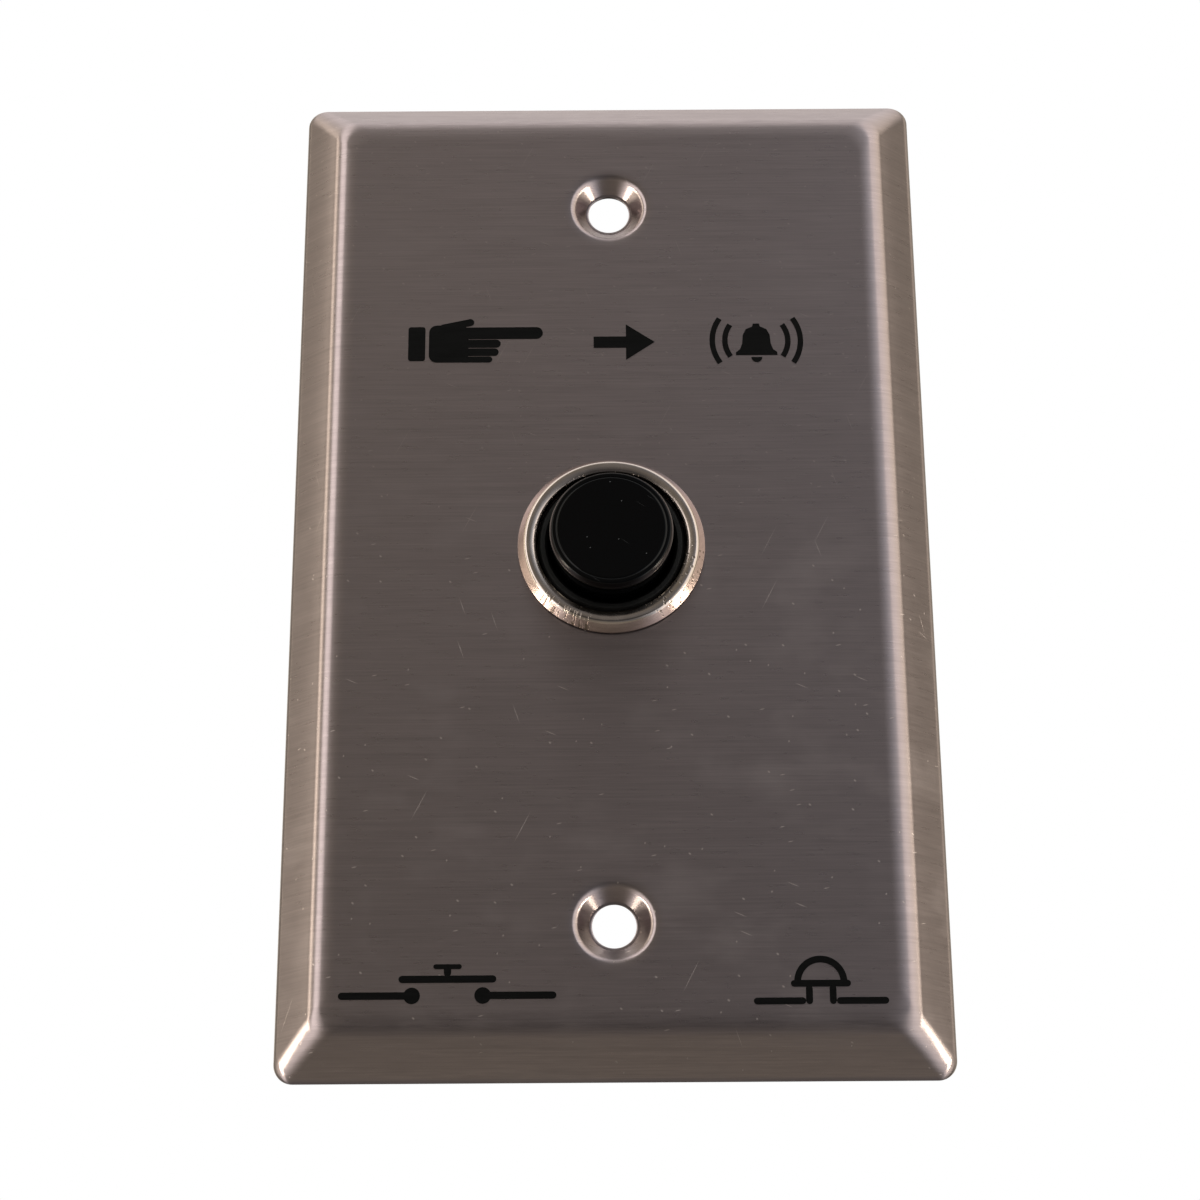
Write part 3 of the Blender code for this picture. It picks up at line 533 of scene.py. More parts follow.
def brushed_stainless_steel(node, finish):
    """Stainless 304 sheet, belt brushed along its width before it was pressed. Lights smear up and down the
    plate and stay narrow from side to side, and handling has left nicks, hairlines and hazy wipes."""
    sheet = node("UVMap", uv_map="sheet")
    place = node("TexCoord", out="Object")
    raised = node("SeparateXYZ", (place,), out="Z")
    # Real 180 grit leaves lines 0.1 mm apart; they are drawn 0.2 mm apart so that they show.
    fine = mottle(node, sheet, (9, 0.2, 1000), 2, 0.6)
    broad = mottle(node, sheet, (26, 0.8, 1000), 3, 0.6)
    short = mottle(node, sheet, (2.6, 0.3, 1000), 2, 0.5)
    beads = mottle(node, sheet, (0.9, 0.24, 1000), 1, 0.5, 0.2, 0.8)
    # Wear gathers below the button, where hands and keys brush past.
    worn = node("MapRange", (raised, 0.012, -0.012, 0.3, 1.0), interpolation_type="SMOOTHSTEP")
    wipes = mottle(node, sheet, (15, 10, 1000), 4, 0.62, 0.52, 0.72)
    wipes = node("Math", (wipes, worn), operation="MULTIPLY")
    marks = 0.0
    # Length, width, spacing in millimetres, angle in degrees and the share of places that have one
    for mark in (
        (1.6, 0.11, 6.5, 24, 0.25),
        (4.5, 0.06, 13.0, -63, 0.34),
        (0.7, 0.14, 4.1, -12, 0.30),
        (2.6, 0.07, 9.0, 71, 0.30),
        (0.40, 0.24, 3.1, 40, 0.28),
        (0.28, 0.20, 2.3, 105, 0.20),
    ):
        marks = node("Math", (scattered_marks(node, sheet, *mark), marks), operation="MAXIMUM")
    marks = node("Math", (marks, worn), operation="MULTIPLY")
    lines = node("Mix", {0: 0.4, 2: fine, 3: broad})
    dark, light = shaded(finish.steel, 0.87), shaded(finish.steel, 1.12)
    colour = node("Mix", {0: lines, 6: dark, 7: light}, **COLOURS)
    hazed = node("Math", (wipes, 0.25), operation="MULTIPLY")
    colour = node("Mix", {0: hazed, 6: colour, 7: linear("#DED0CE")}, **COLOURS)
    nicked = node("Math", (marks, 0.8), operation="MULTIPLY")
    colour = node("Mix", {0: nicked, 6: colour, 7: linear("#FFF0EA")}, **COLOURS)
    gloss = node("MapRange", (short, 0, 1, 0.27, 0.325))
    gloss = node("Math", (wipes, 0.08, gloss), operation="MULTIPLY_ADD")
    gloss = node("Math", (marks, 0.25, gloss), operation="MULTIPLY_ADD")
    height = node("Math", (short, 0.1, fine), operation="MULTIPLY_ADD")
    height = node("Math", (beads, 0.9, height), operation="MULTIPLY_ADD")
    height = node("Math", (marks, -1.6, height), operation="MULTIPLY_ADD")
    return node(
        "BsdfPrincipled",
        {
            "Base Color": colour,
            "Metallic": 1.0,
            "Roughness": gloss,
            "Anisotropic": 0.95,
            "Anisotropic Rotation": 0.25,
            "Tangent": node("Tangent", direction_type="UV_MAP", uv_map="sheet"),
            "Normal": node("Bump", {"Strength": 0.5, "Distance": 0.004 * MM, "Height": height}),
        },
    )


def mill_finish_stainless_steel(node, finish):
    """The sheet's unbrushed back, cold rolled and pickled: a cloudy grey sheen with faint roll lines."""
    place = node("TexCoord", out="Object")
    rolled = mottle(node, place, (40, 40, 0.5), 3, 0.6)
    cloud = mottle(node, place, (14, 14, 9), 4, 0.6)
    height = node("Math", (cloud, 0.5, rolled), operation="MULTIPLY_ADD")
    return node(
        "BsdfPrincipled",
        {
            "Base Color": node("Mix", {0: cloud, 6: linear("#8F8D8B"), 7: linear("#B5B2AF")}, **COLOURS),
            "Metallic": 1.0,
            "Roughness": node("MapRange", (rolled, 0, 1, 0.34, 0.48)),
            "Normal": node("Bump", {"Strength": 0.4, "Distance": 0.004 * MM, "Height": height}),
        },
    )


def nickel_plated_brass(node, finish):
    """Turned brass, bright nickel plated: a warm mirror with faint turning rings, plier bites at the lower
    left of the edge, pits at the lower right and chips round the bore."""
    place = node("TexCoord", out="Object")
    axes = node("SeparateXYZ", (place,), out=None)
    radians = node("Math", (axes["Z"], axes["X"]), operation="ARCTAN2")
    angle = node("Math", (radians, math.tau), operation="DIVIDE")
    across = node("CombineXYZ", (axes["X"], axes["Z"]))
    radius = node("VectorMath", (across,), out="Value", operation="LENGTH")
    cloud = mottle(node, place, (2.5,) * 3, 3, 0.6)
    rings = mottle(node, node("CombineXYZ", (radius, axes["Y"])), (0.12, 0.2, 1), 2, 0.6)
    # The angle is a share of a turn: 0 is the right, -0.25 the bottom and -0.5 the left.
    lower_left = node("Math", (angle, -0.34, 0.05), operation="COMPARE")
    flank = node("MapRange", (radius, 0.0087, 0.0091))
    ticks = mottle(node, node("CombineXYZ", (angle, radius)), (4.5, 1.2, 1), 2, 0.6, 0.52, 0.62)
    bitten = node("Math", (flank, lower_left), operation="MULTIPLY")
    ticks = node("Math", (ticks, bitten), operation="MULTIPLY")
    lower_right = node("Math", (angle, -0.09, 0.08), operation="COMPARE")
    pits = node("TexVoronoi", {"Vector": place, "Scale": 1800.0}, out="Distance")
    pits = node("Math", (node("MapRange", (pits, 0.32, 0.18)), lower_right), operation="MULTIPLY")
    chips = mottle(node, place, (0.5,) * 3, 2, 0.5, 0.6, 0.66)
    chips = node("Math", (chips, node("MapRange", (radius, 0.00845, 0.0082))), operation="MULTIPLY")
    wear = node("Math", (ticks, node("Math", (pits, chips), operation="MAXIMUM")), operation="MAXIMUM")
    colour = node("Mix", {0: cloud, 6: shaded(finish.nickel, 0.88), 7: tuple(finish.nickel)}, **COLOURS)
    worn = node("Math", (wear, 0.7), operation="MULTIPLY")
    gloss = node("MapRange", (cloud, 0, 1, 0.13, 0.21))
    height = node("Math", (wear, -1), operation="MULTIPLY")
    height = node("Math", (rings, 0.12, height), operation="MULTIPLY_ADD")
    return node(
        "BsdfPrincipled",
        {
            "Base Color": node("Mix", {0: worn, 6: colour, 7: linear("#6E5F4C")}, **COLOURS),
            "Metallic": 1.0,
            "Roughness": node("Math", (wear, 0.2, gloss), operation="MULTIPLY_ADD"),
            "Normal": node("Bump", {"Strength": 0.6, "Distance": 0.03 * MM, "Height": height}),
        },
    )


def cloudy_surface(node, colours, gloss, size_mm, skin_mm, relief_mm, **shader):
    """A surface whose colour and gloss follow cloudy patches, with a fine skin of a given depth."""
    place = node("TexCoord", out="Object")
    cloud = mottle(node, place, size_mm, 4, 0.6)
    skin = mottle(node, place, skin_mm, 3, 0.6)
    height = node("Math", (cloud, 0.5, skin), operation="MULTIPLY_ADD")
    inputs = {
        "Base Color": node("Mix", {0: cloud, 6: colours[0], 7: colours[1]}, **COLOURS),
        "Roughness": node("MapRange", (node("Mix", {0: 0.5, 2: cloud, 3: skin}), 0, 1, *gloss)),
        "Normal": node("Bump", {"Strength": 0.5, "Distance": relief_mm * MM, "Height": height}),
    }
    return node("BsdfPrincipled", {**inputs, **shader})


def barrel_nickel_plated_brass(node, finish):
    """A milled brass nut, plated loose in a barrel: a satin warm grey, dinged all over."""
    colours = shaded(finish.nickel, 0.7), tuple(finish.nickel)
    return cloudy_surface(node, colours, (0.22, 0.38), (1.8,) * 3, (0.25,) * 3, 0.02, Metallic=1.0)


def zinc_plated_steel(node, finish):
    """Cold-headed steel, zinc plated and clear passivated: blue-grey with straw-coloured patches."""
    colours = linear("#A9AEB6"), linear("#C9C4B0")
    return cloudy_surface(node, colours, (0.28, 0.44), (1.4,) * 3, (0.2,) * 3, 0.015, Metallic=1.0)


def stamped_brass(node, finish):
    """Half-hard brass strip, blanked and left bare: yellow with brown tarnish in patches."""
    colours = linear("#9C7A3C"), linear("#CFAE62")
    return cloudy_surface(node, colours, (0.24, 0.40), (2.6,) * 3, (0.35,) * 3, 0.012, Metallic=1.0)


def cold_headed_silver(node, finish):
    """Fine silver contact rivets: soft white metal with a touch of grey tarnish."""
    colours = linear("#B4B0A8"), linear("#E6E3DC")
    return cloudy_surface(node, colours, (0.2, 0.34), (0.9,) * 3, (0.12,) * 3, 0.008, Metallic=1.0)


def drawn_spring_steel(node, finish):
    """Hard-drawn wire and stamped strip, oiled: mid grey with dark streaks from the die."""
    colours = linear("#6E6D6C"), linear("#A3A3A4")
    return cloudy_surface(node, colours, (0.26, 0.42), (0.5, 2.2, 0.5), (0.07, 0.3, 0.07), 0.01, Metallic=1.0)


def moulded_black_abs(node, finish):
    """ABS from a polished mould: a deep black gloss, with a few dust specks and hairlines from fingers."""
    place = node("TexCoord", out="Object")
    across = node("Mapping", {"Vector": place, "Rotation": (math.radians(90), 0, 0)})
    specks = scattered_marks(node, across, 0.17, 0.13, 1.5, 20, 0.2)
    hairs = scattered_marks(node, across, 1.4, 0.04, 2.4, -35, 0.2)
    specks = node("Math", (specks, 0.5), operation="MULTIPLY")
    dust = node("Math", (hairs, 0.12, specks), operation="MULTIPLY_ADD")
    sheen = mottle(node, place, (3,) * 3, 3, 0.55)
    return node(
        "BsdfPrincipled",
        {
            "Base Color": node("Mix", {0: dust, 6: tuple(finish.cap), 7: linear("#8C8C90")}, **COLOURS),
            "Roughness": node("MapRange", (sheen, 0, 1, 0.07, 0.11)),
            "IOR": 1.49,
            "Specular IOR Level": 0.25,
            "Normal": node("Bump", {"Strength": 0.5, "Distance": 0.002 * MM, "Height": sheen}),
        },
    )


def compression_moulded_phenolic(node, finish):
    """Wood-filled phenolic, compression moulded: brown-black, half matt, with flow marks."""
    colours = tuple(finish.body), shaded(finish.body, 2.4)
    levels = {"IOR": 1.6, "Specular IOR Level": 0.25}
    return cloudy_surface(node, colours, (0.34, 0.52), (2.2,) * 3, (0.22,) * 3, 0.02, **levels)


def paper_phenolic_laminate(node, finish):
    """Kraft paper and phenolic, pressed into board and blanked: red-brown, with paper fibre in its faces."""
    colours = tuple(finish.board), shaded(finish.board, 1.7)
    return cloudy_surface(node, colours, (0.36, 0.55), (3.0, 0.25, 1.1), (0.3, 0.1, 0.12), 0.02, IOR=1.6)


def moulded_nylon(node, finish):
    """Natural nylon 66: milky off-white and waxy, with light going a little way in."""
    colours = linear("#D9D2BF"), linear("#EAE5D6")
    inside = {"IOR": 1.53, "Subsurface Weight": 0.3, "Subsurface Scale": 0.6 * MM}
    return cloudy_surface(node, colours, (0.3, 0.45), (2,) * 3, (0.2,) * 3, 0.01, **inside)


def screen_printed_ink(node, finish):
    """Two-part epoxy ink, screen printed and baked: dense black, satin, with the steel's grain showing
    through its skin."""
    colours = tuple(finish.ink), shaded(finish.ink, 2.2)
    levels = {"IOR": 1.5, "Specular IOR Level": 0.12}
    return cloudy_surface(node, colours, (0.36, 0.5), (5, 5, 0.4), (0.7, 0.7, 0.1), 0.006, **levels)


def matt_studio_floor(node, finish):
    """Matt painted board: pale and even, with the faint mottle of a roller."""
    colours = tuple(finish.floor), shaded(finish.floor, 0.97)
    return cloudy_surface(node, colours, (0.7, 0.85), (9,) * 3, (0.9,) * 3, 0.05)


FINISHES = (
    brushed_stainless_steel,
    mill_finish_stainless_steel,
    nickel_plated_brass,
    barrel_nickel_plated_brass,
    zinc_plated_steel,
    stamped_brass,
    cold_headed_silver,
    drawn_spring_steel,
    moulded_black_abs,
    compression_moulded_phenolic,
    paper_phenolic_laminate,
    moulded_nylon,
    screen_printed_ink,
    matt_studio_floor,
)


def finish_named(name):
    """The material of that name, made the first time that a piece asks for it."""
    found = bpy.data.materials.get(name)
    if found is None:
        found = bpy.data.materials.new(name)
        found.use_nodes = True
        found.node_tree.nodes.clear()
        node = functools.partial(add_node, found.node_tree)
        make = {make.__name__: make for make in FINISHES}[name]
        node("OutputMaterial", {"Surface": make(node, bpy.context.scene.push_button.finish)}, out=None)
    return found


# Plate


def bend_on_to_face(start, angle, bends, crown=0.0):
    """From start, (distance, y), a slope, bends that turn it on to the plate's face, and a short land. A bend
    is (radius, the slope in degrees that it ends at), and crown is how far the slope bulges."""
    steps = [(angle, bends[0][1]), *((a[1], b[1]) for a, b in zip(bends, bends[1:]))]
    turns = [[math.radians(degrees) for degrees in step] for step in steps]
    fall = sum(radius * (math.cos(low) - math.cos(high)) for (radius, _), (high, low) in zip(bends, turns))
    steep = math.radians(angle)
    drop = start[1] - FACE_Y - fall
    points = []
    for share in (i / BEND_STEPS for i in range(BEND_STEPS)):
        bulge = 4 * crown * share * (1 - share)
        x = start[0] + share * drop / math.tan(steep) - bulge * math.sin(steep)
        points.append((x, start[1] - share * drop - bulge * math.cos(steep)))
    end = (start[0] + drop / math.tan(steep), start[1] - drop)
    for (radius, _), (high, low) in zip(bends, steps):
        turn = math.radians(high)
        centre = (end[0] + radius * math.sin(turn), end[1] + radius * math.cos(turn))
        curve = arc(centre, radius, 270 - high, 270 - low, BEND_STEPS)
        points += curve[:-1]
        end = curve[-1]
    return points + [end, (end[0] + 0.2 * MM, FACE_Y)]


def flange_profile(plate):
    """(inset, y) points of the plate's front skin, from the rim over the bevel to the face."""
    slope = math.degrees(plate.bevel)
    lower = arc((plate.lower_bend, -plate.skirt), plate.lower_bend, 180, 270 - slope, BEND_STEPS)
    bends = ((plate.upper_bend, 8), (plate.roll_off, 0))
    return [(0, 0)] + lower[:-1] + bend_on_to_face(lower[-1], slope, bends, plate.crown)


def dimple_profile(plate):
    """(radius, y) points of the front skin round a screw hole, from the hole over the seat and the cone."""
    hole, seat_y = plate.screw_hole / 2, FACE_Y + plate.dimple_depth
    edge = 0.08 * MM
    cone = bend_on_to_face((hole + 0.3 * MM, seat_y), 49, ((1.0 * MM, 4), (10 * MM, 0)))
    return [(hole, seat_y + edge), (hole + 0.3 * edge, seat_y + 0.3 * edge), (hole + edge, seat_y)] + cone


class SheetMesh:
    """The plate's mesh, in which each point also knows its place on the sheet before it was pressed."""

    def __init__(self):
        self.bm = bmesh.new()
        self.flat = self.bm.verts.layers.float_vector.new("flat")

    def loop(self, outline, y, flat_outline):
        loop = loop_at(self.bm, outline, y)
        for vert, (u, v) in zip(loop, flat_outline):
            vert[self.flat] = (u, v, 0)
        return loop

    def skins(self, profiles, outline_at):
        """A front and a back skin, joined at their first loops. Returns their last loops. outline_at gives
        the outline at a profile's distance, drawn out from the flat by what bending took from the sheet."""
        lasts, firsts = [], []
        for slot, profile in enumerate(profiles):
            loops = []
            for (distance, y), left in zip(profile, along(profile)):
                taken = left - abs(profile[-1][0] - distance)
                loops.append(self.loop(outline_at(distance), y, outline_at(distance, taken)))
            skin(self.bm, loops, slot)
            firsts.append(loops[0])
            lasts.append(loops[-1])
        skin(self.bm, firsts, 0)
        return lasts

    def fill(self, loops, slot):
        edges = [edge for loop in loops for edge in edges_of(self.bm, loop)]
        filled = bmesh.ops.triangle_fill(self.bm, edges=edges, use_beauty=True)
        for item in filled["geom"]:
            if isinstance(item, bmesh.types.BMFace):
                item.material_index = slot

    def finish(self, name):
        uv = self.bm.loops.layers.uv.new("sheet")
        for face in self.bm.faces:
            for corner in face.loops:
                corner[uv].uv = corner.vert[self.flat].xy
        self.bm.verts.layers.float_vector.remove(self.bm.verts.layers.float_vector["flat"])
        return mesh_of(name, self.bm)


def make_faceplate(settings):
    plate = settings.plate
    sheet = SheetMesh()
    front = flange_profile(plate)
    inset_end = front[-1][0]

    def rim(inset, grown=0.0):
        corner = plate.rim_corner + (plate.face_corner - plate.rim_corner) * inset / inset_end
        width, height = plate.width / 2 - inset + grown, plate.height / 2 - inset + grown
        return rounded_rectangle(width, height, corner + grown, CORNER_STEPS)

    skins = [sheet.skins((front, offset_profile(front, plate.sheet)), rim)]
    cone = dimple_profile(plate)
    for z in (plate.screw_spacing / 2, -plate.screw_spacing / 2):

        def seat(radius, grown=0.0):
            return circle(radius - grown, PLAIN_STEPS, (0, z))

        skins.append(sheet.skins((cone, offset_profile(cone, plate.sheet)), seat))
    bore = radius_of("dress_nut") - NUT_WALL
    walls = [
        sheet.loop(circle(bore, PLAIN_STEPS), y, circle(bore - y + FACE_Y, PLAIN_STEPS))
        for y in (FACE_Y, FACE_Y + plate.sheet)
    ]
    skin(sheet.bm, walls, 0)
    for slot in (0, 1):
        sheet.fill([pair[slot] for pair in skins] + [walls[slot]], slot)
    piece = add(
        "pressed_faceplate",
        sheet.finish("pressed_faceplate"),
        "brushed_stainless_steel",
        "mill_finish_stainless_steel",
    )
    install(piece, "switch", "stainless_plate", "faceplate")


# Printed symbols, in millimetres on the plate's face


def hand_symbol(x, z):
    """A pointing hand, 15 mm wide: cuff, palm, three curled fingers, thumb and a long finger."""
    curled = ((0.1, 2.3, 0.98), (1.15, 2.1, 0.92), (2.05, 1.5, 0.72))
    fingers = [bar((x - 1.5, z - drop), (x + length, z - drop), width) for drop, length, width in curled]
    return [
        rounded_rectangle(2.2, 2.3, 0.9, 8, (x - 3.0, z - 0.1)),
        rounded_rectangle(0.95, 2.1, 0.3, 4, (x - 6.55, z - 0.1)),
        bar((x - 2.0, z + 1.2), (x + 6.75, z + 1.2), 1.45),
        bar((x - 3.6, z + 1.9), (x - 0.6, z + 2.55), 0.85),
        *fingers,
    ]


def arrow_symbol(x, z):
    """A fat arrow, 6.8 mm wide."""
    head = [(x + 3.4, z), (x + 0.2, z + 2.2), (x + 0.2, z + 0.7), (x - 3.4, z + 0.7)]
    mirrored = [(px, 2 * z - pz) for px, pz in reversed(head[1:])]
    return [head + mirrored]


def bell_symbol(x, z):
    """A bell that rings, 11 mm wide."""
    side = [(0.35, 2.3), (0.42, 1.95), (1.15, 1.6), (1.5, 0.9), (1.6, -0.2), (1.85, -0.9)]
    side += [(2.3, -1.25), (2.3, -1.6)]
    body = [(x + px, z + pz) for px, pz in side] + [(x - px, z + pz) for px, pz in reversed(side)]
    clapper = arc((x, z - 1.85), 0.62, 180, 360, 12)
    waves = []
    for radius in (3.5, 4.9):
        waves += [band((x, z + 0.2), radius, 0.62, -34, 34), band((x, z + 0.2), radius, 0.62, 146, 214)]
    return [body, clapper, *waves]


def switch_symbol(x, z):
    """The circuit sign for a push contact, 22 mm wide."""
    stroke = 0.75
    return [
        bar((x - 10.7, z - 1.2), (x - 4.0, z - 1.2), stroke),
        bar((x + 4.0, z - 1.2), (x + 10.7, z - 1.2), stroke),
        circle(0.85, 24, (x - 3.6, z - 1.2)),
        circle(0.85, 24, (x + 3.6, z - 1.2)),
        bar((x - 4.6, z + 0.5), (x + 4.6, z + 0.5), stroke),
        bar((x, z + 1.15), (x, z + 1.7), stroke),
        bar((x - 1.2, z + 1.8), (x + 1.2, z + 1.8), 0.5),
    ]


def sounder_symbol(x, z):
    """The circuit sign for a bell, 13.7 mm wide."""
    stroke = 0.7
    return [
        band((x, z - 0.2), 2.35, stroke, 0, 180, 32),
        bar((x - 2.7, z - 0.35), (x + 2.7, z - 0.35), stroke),
        bar((x - 1.2, z - 0.9), (x - 1.2, z - 2.15), stroke),
        bar((x + 1.2, z - 0.9), (x + 1.2, z - 2.15), stroke),
        bar((x - 6.5, z - 2.15), (x - 1.9, z - 2.15), stroke),
        bar((x + 1.9, z - 2.15), (x + 6.5, z - 2.15), stroke),
    ]


def make_markings(settings):
    """Thin islands of ink that stand a little proud of the face and go a little way into it."""
    symbols = {
        "ink_pointing_hand": hand_symbol(-14.9, 24.6),
        "ink_arrow": arrow_symbol(1.6, 24.6),
        "ink_ringing_bell": bell_symbol(16.3, 24.5),
        "ink_push_contact_sign": switch_symbol(-17.0, -48.0),
        "ink_sounder_sign": sounder_symbol(20.9, -47.8),
    }
    for name, islands in symbols.items():
        height = settings.hardware.ink_height
        first, *others = [
            prism(name, [(x * MM, z * MM) for x, z in island], [], height + 0.02 * MM) for island in islands
        ]
        piece = add(name, first, "screen_printed_ink", location=(0, FACE_Y - height, 0))
        for mesh in others:
            combine(piece, "UNION", mesh)
        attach(piece, "switch")


# Nuts and washer


def make_nuts(settings):
    thin = settings.hardware.edge_break
    outer = radius_of("dress_nut")
    bore = outer - NUT_WALL
    top, foot = span("dress_nut", "y")
    crest = (outer - settings.hardware.nut_flank, top + 0.04 * MM)
    profile = [(bore, foot), (bore, top + 0.14 * MM), (bore + 0.22 * MM, top)]
    profile += softened([profile[-1], crest, (outer, foot - 0.12 * MM), (outer, foot)], 0.55 * MM, 12)[1:]
    mesh = turned("plated_dress_nut", profile, ROUND_STEPS, ring=True)
    ring = add("plated_dress_nut", mesh, "nickel_plated_brass")
    install(ring, "switch", "nickel", "dress_nut")

    low, high = span("lock_washer", "y")
    tooth = 1.2 * MM
    teeth = []
    for i in range(12):
        teeth += arc((0, 0), bore, 30 * i, 30 * i + 12, 4)
        teeth += arc((0, 0), bore + tooth, 30 * i + 15, 30 * i + 27, 4)
    mesh = prism("toothed_washer", circle(radius_of("lock_washer"), PLAIN_STEPS), [teeth], high - low)
    twist_teeth(mesh, bore, tooth, 0.12 * MM)
    washer = round_edges(add("toothed_washer", mesh, "zinc_plated_steel", location=(0, low, 0)), 0.06 * MM, 2)
    install(washer, "switch", "zinc_steel", "lock_washer")

    low, high = NUT_Y
    flat = bore + 1.6 * MM
    corner = flat / math.cos(math.radians(30))
    reach = corner + PAST
    mesh = prism("hex_nut", circle(corner, 6), [circle(bore, PLAIN_STEPS)], high - low)
    nut = add("hex_nut", mesh, "barrel_nickel_plated_brass", location=(0, low, 0))
    slope = math.tan(math.radians(30))
    cone = [(0, -PAST * slope), (flat - PAST, -PAST * slope), (reach, (reach - flat) * slope)]
    cone += [(radius, high - low - y) for radius, y in reversed(cone)]
    combine(nut, "INTERSECT", turned("nut_blank", cone, ROUND_STEPS))
    mouth = [(0, -0.1 * MM), (bore + 0.5 * MM, -0.1 * MM), (bore - 0.1 * MM, 0.5 * MM), (0, 0.5 * MM)]
    combine(nut, "DIFFERENCE", turned("nut_mouth", mouth))
    combine(nut, "DIFFERENCE", turned("nut_mouth", [(radius, high - low - y) for radius, y in mouth]))
    install(round_edges(nut, 0.5 * thin, 2), "switch", "nickel", "rear_nut")


def twist_teeth(mesh, bore, depth, lift):
    """Leans each tooth of the washer like a fan blade, most at its tip."""
    for vert in mesh.vertices:
        x, y, z = vert.co
        inward = min(max((bore + depth - math.hypot(x, z)) / depth, 0), 1)
        across = (math.degrees(math.atan2(z, x)) % 30 - 6) / 6
        vert.co.y = y + lift * inward * min(max(across, -1), 1)


# Switch body


def terminal_holes(x=0):
    """A rivet's hole and the wire screw's hole below it."""
    return [
        circle(RIVET_HOLE, SMALL_STEPS, (x, 0)),
        circle(WIRE_SCREW_HOLE, SMALL_STEPS, (x, -WIRE_SCREW_DROP)),
    ]


def make_housing(settings):
    thin, pitch = settings.hardware.edge_break, settings.hardware.thread_pitch
    front, end = HOUSING_Y
    neck = BUTTON_RADIUS + 1.3 * MM
    bore = BUTTON_RADIUS + 0.3 * MM
    shoulder = NUT_Y[1] + 2.5 * MM
    floor = BUTTON_FOOT_Y + 3.0 * MM
    body = radius_of("switch_housing")
    chamber = body - 3.6 * MM
    outside = softened([(0, front), (neck - 0.3 * MM, front), (neck, front + 0.3 * MM)], 0.05 * MM)
    outside += threaded_side(neck, front + 0.4 * MM, shoulder - 0.1 * MM, pitch)
    back = [(neck, shoulder), (body - 0.6 * MM, shoulder), (body, shoulder + 0.6 * MM), (body, end)]
    outside += softened(back, 0.2 * MM)
    outside.append((0, end))
    thread = (neck, front + 0.4 * MM, shoulder - 0.2 * MM, pitch, 0.5 * MM)
    mesh = turned("threaded_housing", outside, PLAIN_STEPS, thread=thread)
    housing = add("threaded_housing", mesh, "compression_moulded_phenolic")
    ears, ear_depth = eared_outline(body, EAR_RADIUS, EAR_Z, 24), 7.0 * MM
    combine(housing, "UNION", prism("ear_block", ears, [], ear_depth), (0, end - ear_depth, 0))
    lead_in, floor_back = 0.25 * MM, floor + 1.5 * MM
    cavity = [(0, front - PAST), (bore + PAST, front - PAST), (bore + lead_in, front)]
    cavity += [(bore, front + lead_in), (bore, floor), (STEM_HOLE, floor), (STEM_HOLE, floor_back)]
    cavity += [(chamber, floor_back), (chamber, end + PAST), (0, end + PAST)]
    combine(housing, "DIFFERENCE", turned("housing_cavity", cavity))
    pilot = 6.2 * MM
    drill = [(0, -pilot), (BASE_SCREW_HOLE, -pilot), (BASE_SCREW_HOLE, PAST), (0, PAST)]
    for z in (EAR_Z, -EAR_Z):
        combine(housing, "DIFFERENCE", turned("pilot_drill", drill, SMALL_STEPS), (0, end, z))
    install(housing, "switch", "black_phenolic", "switch_housing")

    start, back = BASE_Y
    deep = back - start - 2.4 * MM
    holes = [circle(BASE_SCREW_HOLE, SMALL_STEPS, (0, z)) for z in (EAR_Z, -EAR_Z)]
    for x in (CONTACT_X, -CONTACT_X):
        holes += terminal_holes(x)
    mesh = prism("laminate_base", ears, holes, deep)
    base = add("laminate_base", mesh, "paper_phenolic_laminate", location=(0, start, 0))
    barrier = prism("barrier", rounded_rectangle(0.6 * MM, 9.8 * MM, 0.3 * MM, 6), [], 3.4 * MM)
    combine(base, "UNION", barrier, (0, deep - 1.0 * MM, 0))
    recess = [(0, -PAST), (STEM_HOLE, -PAST), (STEM_HOLE, 0.85 * MM), (0, 0.85 * MM)]
    combine(base, "DIFFERENCE", turned("stem_recess", recess, SMALL_STEPS))
    install(round_edges(base, 0.6 * thin, 2), "switch", "brown_phenolic", "terminal_base")


# Terminals and screws


def make_screw(name, node, head_height, shank, pitch, slot_width):
    """A slotted screw in place of a CAD node, with its head behind its seat and a thread on its shank."""
    low, high = span(node, "y")
    seat = high - head_height
    x, z = centre_of(node)
    head = radius_of(node)
    tip, thread_end = low - seat, -0.3 * MM
    profile = [(0, tip), (shank - 0.5 * MM, tip), (shank, tip + 0.5 * MM)]
    profile += threaded_side(shank, tip + 0.6 * MM, thread_end, pitch) + [(shank, 0)]
    dome = [(head, head_height - 0.15 * MM), (head - 0.9 * MM, head_height), (0, head_height)]
    profile += softened([(shank, 0), (head, 0), *dome], 0.3 * MM)[1:]
    thread = (shank, tip + 0.6 * MM, thread_end, pitch, 0.45 * pitch)
    mesh = turned(name, profile, SMALL_STEPS, thread=thread)
    screw = add(name, mesh, "zinc_plated_steel", location=(x, seat, z))
    slot = prism("slot", rectangle(head * 1.2, slot_width / 2), [], 2.0 * MM)
    combine(screw, "DIFFERENCE", slot, (0, head_height - slot_width, 0))
    install(screw, "switch", "zinc_steel", node)


